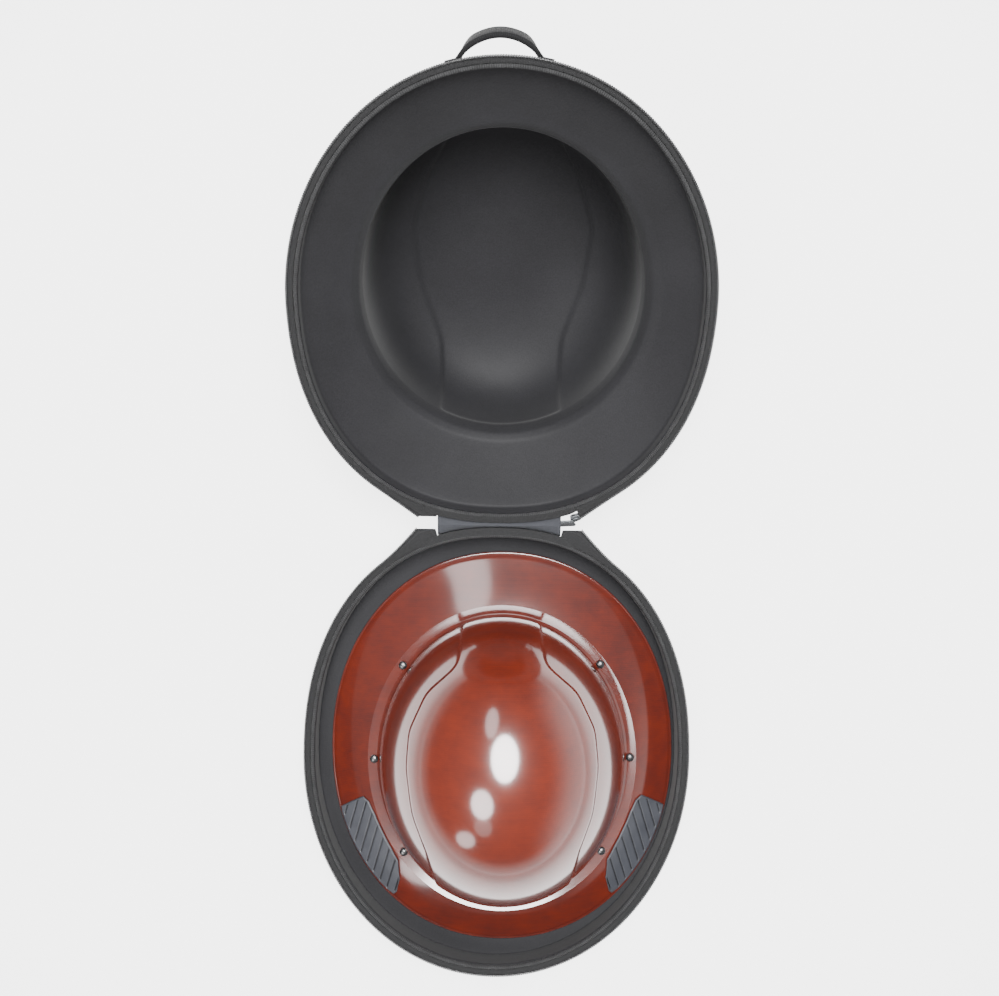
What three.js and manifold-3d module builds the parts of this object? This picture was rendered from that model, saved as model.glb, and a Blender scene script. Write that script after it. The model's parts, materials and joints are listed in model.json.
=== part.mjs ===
// A moulded foam carrying case for a full-brim hard hat, lying open with the hat in its base.
// Millimetres, +Z up. The origin is on the floor, in the flat underside of the base.
// +Y points to the hinge and the lid, and the base's front end is at -Y.
import * as THREE from "three";
import { mergeVertices } from "three/addons/utils/BufferGeometryUtils.js";
import Module from "manifold-3d";

const wasm = await Module();
wasm.setup();

// The hat
const brimHalfWidth = 142.4;
const brimHalfLength = 162.4;
const brimSquareness = 2.1; // 2 is an ellipse, more is squarer
const brimThickness = 3;
const brimRise = 17.5; // from the brim's edge to the gutter round the crown
const gutterHalfWidth = 105.5;
const gutterHalfLength = 121;
const gutterHalfSpan = 5; // from its middle to the foot of the crown
const gutterDrop = 1.6;
const crownShiftY = -7; // the brim is longer towards the hinge
const crownRise = 118;
const crownTaper = 1.1; // 1 leaves its wall upright at the foot, more leans it in
const hatWall = 2.8;
const panelRelief = 1.5;
const rivetHeadRadius = 3.4;
const rivetHeadHeight = 1.6;
const rivetShankRadius = 1.8;
const rivetShankEnd = 1; // past the inside of the hat's wall
const rivetAngle = 39.5; // of the outer rivets, from the middle ones
const gripThickness = 1.8;

// How the hat lies in the case
const hatShiftX = 4.6;
const hatShiftY = 2.2;
const hatYaw = 1; // degrees
const brimDepth = 24; // from the plane where the halves meet down to the brim's edge
const seatGap = 0.3; // between pieces that touch
const brimRoomSide = 2.4;
const brimRoomHinge = 12.6;
const brimRoomFront = 14;
const crownRoomSide = 1.4;
const crownRoomHinge = 7.5;
const crownRoomFront = 3.5;
const crownRoomTop = 5;

// The foam halves
const foamWall = 5;
const hingeSquareness = 2.23;
const frontSquareness = 2.02;
const hingeGap = 0.3; // from each rim to the hinge line
const ledgeInset = 9.6; // from the outline to the foot of the wall beside the brim
const ledgeCorner = 0.8;
const ledgeWidth = 24;
const panDepth = 10.7; // below the ledge
const panSlope = 9;
const panCorner = 1.5;
const baseWallSlope = 0.12; // of the outer wall, inwards for each millimetre down
const bandInset = 10.5; // where the lid's sloped band begins
const bandTop = 11;
const mouthDepth = 28; // from the parting plane to the dome's mouth
const mouthFillet = 14;
const mouthLip = 0.4; // how far the band rises again beside the mouth
const domeSquareness = 3.22;
const domePanelRelief = 1.6;
const domePanelStart = 8; // from the mouth to the foot of the raised panel

// The rims, from the parting plane into each half
const partingGap = 0.2;
const zipCoilInset = 0.3;
const zipCoilWidth = 2.6;
const zipCoilHeight = 2.2;
const zipTapeReach = 6.3; // from the outline to the tape's inner edge
const zipTapeThickness = 0.9;
const zipEndAcross = 64; // where each zip ends beside the hinge
const zipFlareAcross = 98; // where it begins to leave the shell
const zipFlare = 6.8;
const shellInset = 1.6;
const rimWall = 8;
const bindingThickness = 1;
const pipingWidth = 2.8;
const pipingTop = 0.6;

// The hinge cloth, the handle and the slider
const hingeAcross = 50;
const hingeCloth = 0.8;
const hingeClothGap = 0.3; // from the hinge line to the cloth
const hingeLeafDepth = 18;
const handleShiftX = -3.5; // it was sewn a little off the middle
const handleAcross = 28;
const handleFoot = 8;
const handleTop = 10.3; // from the parting plane
const handleRise = 10.5;
const handleWidth = 14;
const handleThickness = 4.4; // two layers, and one at the feet
const handleLean = 0.1; // how far the middle leans over, for each millimetre of width
const sliderLength = 8;
const sliderWidth = 6;
const sliderHeight = 4.6;
const sliderClip = 1.2; // off its corners
const pullLength = 12.6;
const pullWidth = 5.4;
const pullThickness = 1.6;
const pullClip = 2.4; // off its corners
const pullOverhang = 0.6; // past the hinge line
const pullSwing = -4; // degrees

// Steps of the curves
const aroundSteps = 44;
const domeSteps = 7;
const rivetSides = 9;

// The flat part of the crown's raised panel, as shares of the crown's half sizes
const crownPanel = [
  { along: 1.1, across: 0.3 },
  { along: 0.74, across: 0.33 },
  { along: 0.56, across: 0.57 },
  { along: 0.32, across: 0.7 },
  { along: 0.09, across: 0.72 },
  { along: -0.21, across: 0.675 },
  { along: -0.47, across: 0.57 },
  { along: -0.7, across: 0.53 },
  { along: -1.1, across: 0.51 },
];

// The panel pressed into the lid's dome, as shares of the dome's half sizes
const domePanel = [
  { along: 1.1, across: 0.44 },
  { along: 0.6, across: 0.47 },
  { along: 0.2, across: 0.62 },
  { along: -0.2, across: 0.67 },
  { along: -0.55, across: 0.55 },
  { along: -0.8, across: 0.4 },
  { along: -1.1, across: 0.36 },
];

// The brim's rubber grips: where each row begins and ends across the brim, as shares of the way
// from the gutter to the brim's edge, and its angles there, from the front end
const gripRows = [
  { inner: 0.78, outer: 0.88, innerAngle: 40, outerAngle: 40 },
  { inner: 0.42, outer: 0.93, innerAngle: 43, outerAngle: 43 },
  { inner: 0.1, outer: 0.95, innerAngle: 49, outerAngle: 49 },
  { inner: 0.05, outer: 0.96, innerAngle: 55, outerAngle: 55 },
  { inner: 0.04, outer: 0.97, innerAngle: 62, outerAngle: 61 },
  { inner: 0.06, outer: 0.97, innerAngle: 69, outerAngle: 67 },
  { inner: 0.12, outer: 0.97, innerAngle: 74, outerAngle: 71.5 },
  { inner: 0.25, outer: 0.96, innerAngle: 76, outerAngle: 73 },
];

// Sizes that follow from those above
const caseHalfWidth = brimHalfWidth + hatShiftX + brimRoomSide + ledgeInset;
const hingeReach = brimHalfLength + hatShiftY + brimRoomHinge + ledgeInset;
const frontReach = brimHalfLength - hatShiftY + brimRoomFront + ledgeInset;
const hingeY = hingeReach + hingeGap;
const ledgeDepth = brimDepth + brimThickness + seatGap;
const baseHeight = ledgeDepth + panDepth + foamWall;
const crownHalfWidth = gutterHalfWidth - gutterHalfSpan;
const crownHalfLength = gutterHalfLength - gutterHalfSpan;
const crownY = hatShiftY + crownShiftY;
const domeInnerDepth = crownRise + brimRise - brimDepth + panelRelief + crownRoomTop;
const coilMiddle = zipCoilInset + zipCoilWidth / 2;
const coilFoot = partingGap + zipCoilHeight;
const bindingFoot = coilFoot + seatGap + bindingThickness;
const rimDepth = bindingFoot + seatGap;
const pipingInset = zipTapeReach + seatGap;
const lidWallFoot = bandTop + foamWall * 0.9; // of the lid's outer wall, where its band begins
const lidWallInset = bandInset - foamWall * 0.9;
const lidWallSlope = (lidWallInset - shellInset) / (lidWallFoot - rimDepth);

const rim = {
  halfWidth: caseHalfWidth,
  hingeReach,
  frontReach,
  hingeSquareness,
  frontSquareness,
};
const mouth = {
  halfWidth: crownHalfWidth + hatShiftX + crownRoomSide,
  hingeReach: crownHalfLength + crownY + crownRoomHinge,
  frontReach: crownHalfLength - crownY + crownRoomFront,
  hingeSquareness: 2,
  frontSquareness: 2,
};

const finishes = {
  foam: { color: 0x35343a, roughness: 0.72, metalness: 0 },
  binding: { color: 0x4a494d, roughness: 0.85, metalness: 0 },
  zip: { color: 0x2e2e30, roughness: 0.7, metalness: 0 },
  cloth: { color: 0x55555c, roughness: 0.75, metalness: 0 },
  webbing: { color: 0x3f3f42, roughness: 0.9, metalness: 0 },
  hat: { color: 0x8a2f16, roughness: 0.16, metalness: 0 },
  grip: { color: 0x2d3138, roughness: 0.6, metalness: 0 },
  rivet: { color: 0x1a1a1c, roughness: 0.3, metalness: 0.4 },
  slider: { color: 0x3a3b3e, roughness: 0.4, metalness: 0.8 },
};

// A closed geometry from points and triangles, with its faces turned outwards.
function bodyFrom(points, triangles) {
  let volume = 0;
  for (const [a, b, c] of triangles) {
    volume += points[a].dot(new THREE.Vector3().crossVectors(points[b], points[c]));
  }
  const geometry = new THREE.BufferGeometry();
  const coordinates = points.flatMap((point) => point.toArray());
  geometry.setAttribute("position", new THREE.Float32BufferAttribute(coordinates, 3));
  geometry.setIndex(triangles.flatMap(([a, b, c]) => (volume < 0 ? [a, c, b] : [a, b, c])));
  return geometry;
}

// The quads between two loops of the same length, split the same way everywhere.
function stitch(near, far, count) {
  const triangles = [];
  for (let i = 0; i < count; i++) {
    const next = (i + 1) % count;
    triangles.push([near + i, near + next, far + i]);
    triangles.push([near + next, far + next, far + i]);
  }
  return triangles;
}

// A body through a stack of level loops, closed by a fan at each end.
function stackedBody(loops) {
  const count = loops[0].length;
  const centreOf = (loop) => new THREE.Vector3(0, 0, loop[0].z);
  const points = [...loops.flat(), centreOf(loops[0]), centreOf(loops.at(-1))];
  const first = points.length - 2;
  const top = (loops.length - 1) * count;
  const triangles = [];
  for (let k = 0; k + 1 < loops.length; k++) {
    triangles.push(...stitch(k * count, (k + 1) * count, count));
  }
  for (let i = 0; i < count; i++) {
    const next = (i + 1) % count;
    triangles.push([first, next, i], [first + 1, top + i, top + next]);
  }
  return bodyFrom(points, triangles);
}

// A body through a row of like sections. An open row has flat ends, cut as the section allows.
function sweptBody(sections, endFaces) {
  const corners = sections[0].length;
  const points = sections.flat();
  const spans = endFaces ? sections.length - 1 : sections.length;
  const triangles = [];
  for (let k = 0; k < spans; k++) {
    triangles.push(...stitch(k * corners, ((k + 1) % sections.length) * corners, corners));
  }
  if (endFaces) {
    const end = (sections.length - 1) * corners;
    for (const [a, b, c] of endFaces) {
      triangles.push([a, c, b], [end + a, end + b, end + c]);
    }
  }
  return bodyFrom(points, triangles);
}

// The end faces of a section given as [across, depth] corners, wound as sweptBody needs them.
function facesOf(corners) {
  const flat = corners.map(([across, depth]) => new THREE.Vector2(across, depth));
  const faces = THREE.ShapeUtils.triangulateShape(flat, []);
  const turned = (a, b, c) => THREE.ShapeUtils.area([flat[a], flat[b], flat[c]]) < 0;
  const forward = THREE.ShapeUtils.area(flat) > 0;
  return faces.map(([a, b, c]) => (turned(a, b, c) === forward ? [a, c, b] : [a, b, c]));
}

function solidOf(geometry) {
  const bare = geometry.clone();
  bare.deleteAttribute("normal");
  bare.deleteAttribute("uv");
  const merged = mergeVertices(bare, 1e-4);
  const mesh = new wasm.Mesh({
    numProp: 3,
    vertProperties: new Float32Array(merged.attributes.position.array),
    triVerts: new Uint32Array(merged.index.array),
  });
  return new wasm.Manifold(mesh);
}

function geometryOf(solid) {
  const mesh = solid.getMesh();
  const geometry = new THREE.BufferGeometry();
  geometry.setAttribute("position", new THREE.Float32BufferAttribute(mesh.vertProperties, 3));
  geometry.setIndex(Array.from(mesh.triVerts));
  return geometry;
}

const power = (value, exponent) => Math.sign(value) * Math.abs(value) ** exponent;
const mix = (a, b, share) => a + (b - a) * share;
const smooth = (share) => share * share * (3 - 2 * share);

// A point of a rounded outline at an angle from +X, moved inwards along the outline's normal.
function outlinePoint(outline, angle, inset = 0) {
  const hingeSide = Math.sin(angle) >= 0;
  const reach = hingeSide ? outline.hingeReach : outline.frontReach;
  const squareness = hingeSide ? outline.hingeSquareness : outline.frontSquareness;
  const x = outline.halfWidth * power(Math.cos(angle), 2 / squareness);
  const y = reach * power(Math.sin(angle), 2 / squareness);
  const slopeX = power(x / outline.halfWidth, squareness - 1) / outline.halfWidth;
  const slopeY = power(y / reach, squareness - 1) / reach;
  const slope = Math.hypot(slopeX, slopeY);
  return new THREE.Vector2(x - (slopeX / slope) * inset, y - (slopeY / slope) * inset);
}

// The outline's point at a station. Whole stations are its corners, others lie on its sides.
function stationPoint(station, inset) {
  const lower = Math.floor(station);
  const angle = (2 * Math.PI) / aroundSteps;
  const from = outlinePoint(rim, lower * angle, inset);
  return from.lerp(outlinePoint(rim, (lower + 1) * angle, inset), station - lower);
}

function levelLoop(pointAt, depth) {
  return Array.from({ length: aroundSteps }, (_, i) => {
    const point = pointAt((2 * Math.PI * i) / aroundSteps);
    return new THREE.Vector3(point.x, point.y, depth);
  });
}

const rimLoop = (inset, depth) => levelLoop((angle) => outlinePoint(rim, angle, inset), depth);
const mouthLoop = (inset, depth) => levelLoop((angle) => outlinePoint(mouth, angle, inset), depth);

// The loops of a dome that begins upright at one depth and ends in a crown at another.
function domeLoops(outline, growth, from, to, squareness) {
  const grown = {
    ...outline,
    halfWidth: outline.halfWidth + growth,
    hingeReach: outline.hingeReach + growth,
    frontReach: outline.frontReach + growth,
  };
  return Array.from({ length: domeSteps }, (_, i) => {
    const angle = (Math.PI / 2) * ((i + 1) / (domeSteps + 0.35));
    const share = Math.cos(angle) ** (2 / squareness);
    const depth = mix(from, to, Math.sin(angle) ** (2 / squareness));
    return levelLoop((at) => outlinePoint(grown, at).multiplyScalar(share), depth);
  });
}

// An upright prism over a panel's table, for cutting that panel out of a dome.
function panelPrism(table, halfWidth, hingeReachOfDome, frontReachOfDome, from, to) {
  const side = table.map(({ along, across }) => {
    const reach = along > 0 ? hingeReachOfDome : frontReachOfDome;
    return new THREE.Vector2(across * halfWidth, along * reach);
  });
  const mirrored = side.map((point) => new THREE.Vector2(-point.x, point.y)).reverse();
  const shape = new THREE.Shape([...side, ...mirrored]);
  const prism = new THREE.ExtrudeGeometry(shape, { depth: to - from, bevelEnabled: false });
  return prism.translate(0, 0, from);
}

// The base's shell. Depth runs from the parting plane down to the floor.
function baseShell() {
  const undersideInset = ledgeInset + ledgeWidth + panSlope - foamWall;
  const outside = [
    rimLoop(shellInset, rimDepth),
    rimLoop(shellInset + baseWallSlope * foamWall * 2, rimDepth + foamWall * 2),
    rimLoop(ledgeInset - foamWall, ledgeDepth),
    rimLoop(ledgeInset - foamWall * 0.7, ledgeDepth + foamWall * 0.7),
    rimLoop(ledgeInset, ledgeDepth + foamWall),
    rimLoop(undersideInset - panSlope, ledgeDepth + foamWall),
    rimLoop(undersideInset - panSlope * 0.3, baseHeight - foamWall * 0.3),
    rimLoop(undersideInset, baseHeight),
  ];
  const panInset = ledgeInset + ledgeWidth + panSlope;
  const inside = [
    rimLoop(shellInset + rimWall, rimDepth - foamWall),
    rimLoop(shellInset + rimWall, rimDepth),
    rimLoop(ledgeInset, ledgeDepth - ledgeCorner),
    rimLoop(ledgeInset + ledgeCorner, ledgeDepth),
    rimLoop(ledgeInset + ledgeWidth - panCorner, ledgeDepth),
    rimLoop(ledgeInset + ledgeWidth + panCorner, ledgeDepth + panCorner),
    rimLoop(panInset - panCorner, ledgeDepth + panDepth - panCorner),
    rimLoop(panInset, ledgeDepth + panDepth),
  ];
  return geometryOf(solidOf(stackedBody(outside)).subtract(solidOf(stackedBody(inside))));
}

// One side of the lid's wall: the rim, the sloped band, the mouth's fillet and the dome.
function lidSkin(wall, rimInset, rimStart, dome) {
  const fillet = mouthFillet - wall;
  const bandEnd = mouthDepth - mouthLip + wall;
  return [
    ...rimStart,
    rimLoop(rimInset, mix(bandTop, lidWallFoot, wall / foamWall)),
    mouthLoop(-wall - fillet, bandEnd),
    mouthLoop(-wall - fillet * 0.45, bandEnd + fillet * 0.2),
    mouthLoop(-wall - fillet * 0.12, bandEnd + fillet * 0.6),
    mouthLoop(-wall, bandEnd + fillet * 1.2),
    ...domeLoops(mouth, wall, bandEnd + fillet * 1.2, dome, domeSquareness),
  ];
}

function domePanelBody(wall, depth) {
  const raised = [
    mouthLoop(-wall, mouthDepth),
    mouthLoop(-wall, mouthDepth + domePanelRelief),
    ...domeLoops(
      mouth,
      wall + domePanelRelief,
      mouthDepth + domePanelStart,
      depth,
      domeSquareness,
    ),
  ];
  const prism = panelPrism(
    domePanel,
    mouth.halfWidth,
    mouth.hingeReach,
    mouth.frontReach,
    mouthDepth + mouthFillet + foamWall,
    depth + foamWall,
  );
  return solidOf(stackedBody(raised)).intersect(solidOf(prism));
}

function lidShell() {
  const outerDepth = domeInnerDepth + foamWall;
  const outerRim = [rimLoop(shellInset, rimDepth)];
  const outerSkin = lidSkin(foamWall, lidWallInset, outerRim, outerDepth);
  const innerRim = [
    rimLoop(shellInset + rimWall, rimDepth - foamWall),
    rimLoop(shellInset + rimWall, rimDepth),
  ];
  const innerSkin = lidSkin(0, bandInset, innerRim, domeInnerDepth);
  const outer = solidOf(stackedBody(outerSkin)).add(
    domePanelBody(foamWall, outerDepth + domePanelRelief),
  );
  const inner = solidOf(stackedBody(innerSkin)).add(
    domePanelBody(0, domeInnerDepth + domePanelRelief),
  );
  return geometryOf(outer.subtract(inner));
}

// The binding on a rim: a flat band under the zip, and a rounded piping at its inner edge.
function rimBinding() {
  const bandTop = bindingFoot - bindingThickness;
  const pipingEnd = pipingInset + pipingWidth;
  const section = [
    [shellInset, bindingFoot],
    [pipingEnd, bindingFoot],
    [pipingEnd, mix(pipingTop, bandTop, 0.4)],
    [pipingInset + pipingWidth / 2, pipingTop],
    [pipingInset, mix(pipingTop, bandTop, 0.4)],
    [pipingInset, bandTop],
    [shellInset, bandTop],
  ];
  const sections = Array.from({ length: aroundSteps }, (_, i) =>
    section.map(([inset, depth]) => {
      const point = outlinePoint(rim, (2 * Math.PI * i) / aroundSteps, inset);
      return new THREE.Vector3(point.x, point.y, depth);
    }),
  );
  return sweptBody(sections);
}

// The station on the hinge side where the outline is this far across.
function stationAcross(across) {
  let station = 0;
  while (stationPoint(station + 1, 0).x > across) station += 1;
  const from = stationPoint(station, 0).x;
  return station + (from - across) / (from - stationPoint(station + 1, 0).x);
}

// One half of the zip: its coil on the parting plane, and its tape flat on the binding.
function zipHalf() {
  const coilEnd = zipCoilInset + zipCoilWidth;
  const tapeTop = coilFoot - zipTapeThickness;
  const section = [
    [zipCoilInset + zipCoilWidth / 4, partingGap],
    [coilEnd - zipCoilWidth / 4, partingGap],
    [coilEnd, tapeTop],
    [zipTapeReach, tapeTop],
    [zipTapeReach, coilFoot],
    [zipCoilInset + zipCoilWidth / 4, coilFoot],
    [zipCoilInset, tapeTop],
  ];
  const end = stationAcross(zipEndAcross);
  const flareEnd = stationAcross(zipFlareAcross);
  const half = aroundSteps / 2;
  const stations = [half - end];
  for (let k = Math.ceil(2 * (half - end) + 0.2); k < 2 * (aroundSteps + end) - 0.2; k++) {
    const nearEnd = k / 2 < half - flareEnd || k / 2 > aroundSteps + flareEnd;
    if (nearEnd || k % 2 === 0) stations.push(k / 2);
  }
  stations.push(aroundSteps + end);
  const sections = stations.map((station) => {
    const fromEnd = Math.min(station - (half - end), aroundSteps + end - station);
    const share = Math.max(0, 1 - fromEnd / (end - flareEnd));
    const flare = zipFlare * share * share;
    return section.map(([inset, depth]) => {
      const point = stationPoint(station, inset < zipTapeReach ? inset - flare : inset);
      return new THREE.Vector3(point.x, point.y, depth);
    });
  });
  return sweptBody(sections, facesOf(section));
}

// One leaf of the hinge cloth, from the hinge line down onto the shell's outer wall.
function hingeLeaf(wallSlope) {
  const steps = 8;
  const sections = Array.from({ length: steps + 1 }, (_, i) => {
    const across = mix(hingeAcross, -hingeAcross, i / steps);
    const station = stationAcross(Math.abs(across) + 1e-6);
    const wallY = (depth) => {
      return stationPoint(station, shellInset - seatGap + wallSlope * (depth - rimDepth)).y;
    };
    const outer = [
      [hingeY - hingeClothGap, partingGap],
      [wallY(rimDepth) + hingeCloth, rimDepth],
      [wallY(hingeLeafDepth) + hingeCloth, hingeLeafDepth],
    ];
    const inner = outer.map(([y, depth]) => [y - hingeCloth, depth]);
    const corners = [...outer, ...inner.reverse()];
    return corners.map(([y, depth]) => new THREE.Vector3(across, y, depth));
  });
  return sweptBody(sections, [
    [0, 1, 5],
    [1, 4, 5],
    [1, 2, 4],
    [2, 3, 4],
  ]);
}

// The handle: a webbing loop sewn to the sloping front wall of the lid by its two feet.
function handleLoop() {
  const halfSteps = 12;
  const reach = handleAcross + handleFoot;
  const from = handleTop;
  const wallInset = shellInset - seatGap + lidWallSlope * (from - rimDepth);
  const rows = Array.from({ length: 2 * halfSteps + 1 }, (_, i) => {
    const offset = mix(reach, -reach, i / (2 * halfSteps));
    const across = handleShiftX + offset;
    const share = Math.min(1, Math.abs(offset) / handleAcross);
    const bow = 1 - share * share;
    return {
      across,
      wall: frontWallY(across, wallInset),
      bow: handleRise * bow,
      slope: mix(lidWallSlope, -handleLean, smooth(Math.min(1, 1.4 * bow))),
      thickness: handleThickness * mix(0.5, 1, Math.min(1, 2 * bow)),
    };
  });
  const sections = rows.map((row, i) => {
    const before = rows[Math.max(0, i - 1)];
    const after = rows[Math.min(rows.length - 1, i + 1)];
    const along = new THREE.Vector2(
      after.across - before.across,
      after.wall - after.bow - (before.wall - before.bow),
    ).normalize();
    const inner = new THREE.Vector2(row.across, row.wall - row.bow);
    const outer = inner.clone().add(
      new THREE.Vector2(along.y, -along.x).multiplyScalar(-row.thickness),
    );
    const lean = row.slope * handleWidth;
    return [
      new THREE.Vector3(outer.x, outer.y, from),
      new THREE.Vector3(inner.x, inner.y, from),
      new THREE.Vector3(inner.x, inner.y + lean, from + handleWidth),
      new THREE.Vector3(outer.x, outer.y + lean, from + handleWidth),
    ];
  });
  return sweptBody(sections, [
    [0, 1, 2],
    [0, 2, 3],
  ]);
}

// The front of the outline at a distance from its middle, moved inwards.
function frontWallY(across, inset) {
  const angle = -Math.acos(power(across / rim.halfWidth, rim.frontSquareness / 2));
  return outlinePoint(rim, angle, inset).y;
}

// A flat plate with clipped corners, lying in the X-Y plane from z = 0.
function plate(length, width, thickness, clip) {
  const shape = new THREE.Shape();
  shape.moveTo(-length / 2, -width / 2);
  shape.lineTo(length / 2 - clip, -width / 2);
  shape.lineTo(length / 2, width / 2 - clip / 2);
  shape.lineTo(length / 2 - clip / 2, width / 2);
  shape.lineTo(-length / 2, width / 2);
  shape.closePath();
  return new THREE.ExtrudeGeometry(shape, { depth: thickness, bevelEnabled: false });
}

// A point of the hat's top side over the brim: 0 is at the gutter and 1 at the brim's edge.
function brimPoint(angle, share) {
  const edge = {
    halfWidth: brimHalfWidth,
    hingeReach: brimHalfLength,
    frontReach: brimHalfLength,
    hingeSquareness: brimSquareness,
    frontSquareness: brimSquareness,
  };
  const start = gutterPoint(angle, gutterHalfSpan);
  const point = start.lerp(outlinePoint(edge, angle), share);
  const rise = mix(1, 0, smooth(share) * 0.35 + share * 0.65);
  return new THREE.Vector3(point.x, point.y, brimThickness + brimRise * rise);
}

// A point on the gutter's ellipse, moved outwards.
function gutterPoint(angle, outwards) {
  const x = (gutterHalfWidth + outwards) * Math.cos(angle);
  const y = (gutterHalfLength + outwards) * Math.sin(angle) + crownShiftY;
  return new THREE.Vector2(x, y);
}

const brimShares = [1, 0.75, 0.5, 0.25, 0];

// The hat's outer form, or with a wall the form of its inside.
function hatForm(wall, growth = 0) {
  const inside = wall > 0;
  const drop = inside ? brimThickness : 0;
  const brimLoops = brimShares.map((share) =>
    Array.from({ length: aroundSteps }, (_, i) => {
      const point = brimPoint((2 * Math.PI * i) / aroundSteps, share);
      point.z -= drop;
      return point;
    }),
  );
  const floor = inside ? -brimThickness : 0;
  const bottom = brimLoops[0].map((point) => new THREE.Vector3(point.x, point.y, floor));
  const gutterZ = brimThickness + brimRise - drop;
  const crown = {
    halfWidth: crownHalfWidth - wall + growth,
    reach: crownHalfLength - wall + growth,
    top: brimThickness + brimRise + crownRise - wall + growth,
  };
  const gutterLoop = levelLoop((angle) => gutterPoint(angle, 0), gutterZ - gutterDrop);
  const footLoop = levelLoop((angle) => crownPoint(crown, angle, 1), gutterZ - gutterDrop / 2);
  const dome = Array.from({ length: domeSteps + 1 }, (_, i) => {
    const angle = (Math.PI / 2) * ((i + 0.6) / (domeSteps + 1.1));
    const share = Math.cos(angle);
    const z = mix(gutterZ, crown.top, Math.sin(angle) ** crownTaper);
    return levelLoop((at) => crownPoint(crown, at, share), z);
  });
  return solidOf(stackedBody([bottom, ...brimLoops, gutterLoop, footLoop, ...dome]));
}

function crownPoint(crown, angle, share) {
  return new THREE.Vector2(
    crown.halfWidth * share * Math.cos(angle),
    crown.reach * share * Math.sin(angle) + crownShiftY,
  );
}

// Where the six rivets stand on the gutter: their angles from +X.
const rivetAngles = [-rivetAngle, 0, rivetAngle, 180 - rivetAngle, 180, 180 + rivetAngle];

function rivetPlace(angle) {
  const point = gutterPoint(THREE.MathUtils.degToRad(angle), 0);
  return new THREE.Vector3(point.x, point.y, brimThickness + brimRise - gutterDrop);
}

// The hat's shell: brim, gutter and crown in one wall, with the raised panel and the rivet holes.
function hatShell() {
  const gutterZ = brimThickness + brimRise;
  const prism = panelPrism(
    crownPanel,
    crownHalfWidth,
    crownHalfLength,
    crownHalfLength,
    gutterZ + gutterHalfSpan,
    gutterZ + crownRise + 2 * panelRelief,
  ).translate(0, crownShiftY, 0);
  const panel = hatForm(0, panelRelief).intersect(solidOf(prism));
  let shell = hatForm(0).add(panel).subtract(hatForm(hatWall));
  for (const angle of rivetAngles) {
    const place = rivetPlace(angle);
    const hole = upright(rivetShankRadius + seatGap, 4 * hatWall);
    shell = shell.subtract(solidOf(hole.translate(place.x, place.y, place.z)));
  }
  return geometryOf(shell);
}

// An upright cylinder centred on the origin.
function upright(radius, height) {
  return new THREE.CylinderGeometry(radius, radius, height, rivetSides).rotateX(Math.PI / 2);
}

// A rivet: a domed head on the gutter's floor over a shank through the wall.
function rivet() {
  const profile = [
    new THREE.Vector2(0, -hatWall - rivetShankEnd),
    new THREE.Vector2(rivetShankRadius, -hatWall - rivetShankEnd),
    new THREE.Vector2(rivetShankRadius, seatGap + gutterDrop / 2),
    new THREE.Vector2(rivetHeadRadius, seatGap + gutterDrop),
    new THREE.Vector2(rivetHeadRadius * 0.75, seatGap + gutterDrop + rivetHeadHeight * 0.7),
    new THREE.Vector2(0, seatGap + gutterDrop + rivetHeadHeight),
  ];
  const lathe = new THREE.LatheGeometry(profile, rivetSides).rotateX(Math.PI / 2);
  return geometryOf(solidOf(lathe));
}

// A rubber grip over one front corner of the brim. Side is -1 for the left and 1 for the right.
function grip(side) {
  const steps = 4;
  const sections = gripRows.map((row) => {
    const top = [];
    const under = [];
    for (let k = 0; k <= steps; k++) {
      const turn = mix(row.innerAngle, row.outerAngle, k / steps);
      const angle = THREE.MathUtils.degToRad(-90 + side * turn);
      const point = brimPoint(angle, mix(row.inner, row.outer, k / steps));
      const edge = k === 0 || k === steps;
      top.push(point.clone().setZ(point.z + seatGap + gripThickness * (edge ? 0.7 : 1)));
      under.push(point.clone().setZ(point.z + seatGap));
    }
    return [...top, ...under.reverse()];
  });
  const last = 2 * steps + 1;
  const faces = [];
  for (let k = 0; k < steps; k++) {
    faces.push([k, k + 1, last - k], [k + 1, last - k - 1, last - k]);
  }
  return sweptBody(sections, faces);
}

// The angle above the floor at which the opened lid comes to rest on its dome.
function restingTilt(geometry) {
  const position = geometry.attributes.position;
  let tilt = 0;
  for (let i = 0; i < position.count; i++) {
    const reach = hingeY - position.getY(i);
    const depth = position.getZ(i);
    const radius = Math.hypot(reach, depth);
    if (radius > baseHeight) {
      tilt = Math.max(tilt, Math.atan2(depth, reach) - Math.asin(baseHeight / radius));
    }
  }
  return tilt;
}

function piece(name, geometry, finish) {
  const mesh = new THREE.Mesh(geometry, new THREE.MeshStandardMaterial(finishes[finish]));
  mesh.name = name;
  return mesh;
}

// The base hangs below the parting plane, so its depths run downwards.
function buildBase() {
  const base = new THREE.Group();
  base.position.z = baseHeight;
  base.rotation.y = Math.PI;
  base.add(
    piece("base_shell", baseShell(), "foam"),
    piece("base_binding", rimBinding(), "binding"),
    piece("base_zip", zipHalf(), "zip"),
    piece("hinge_leaf_base", hingeLeaf(baseWallSlope), "cloth"),
  );
  return base;
}

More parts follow.
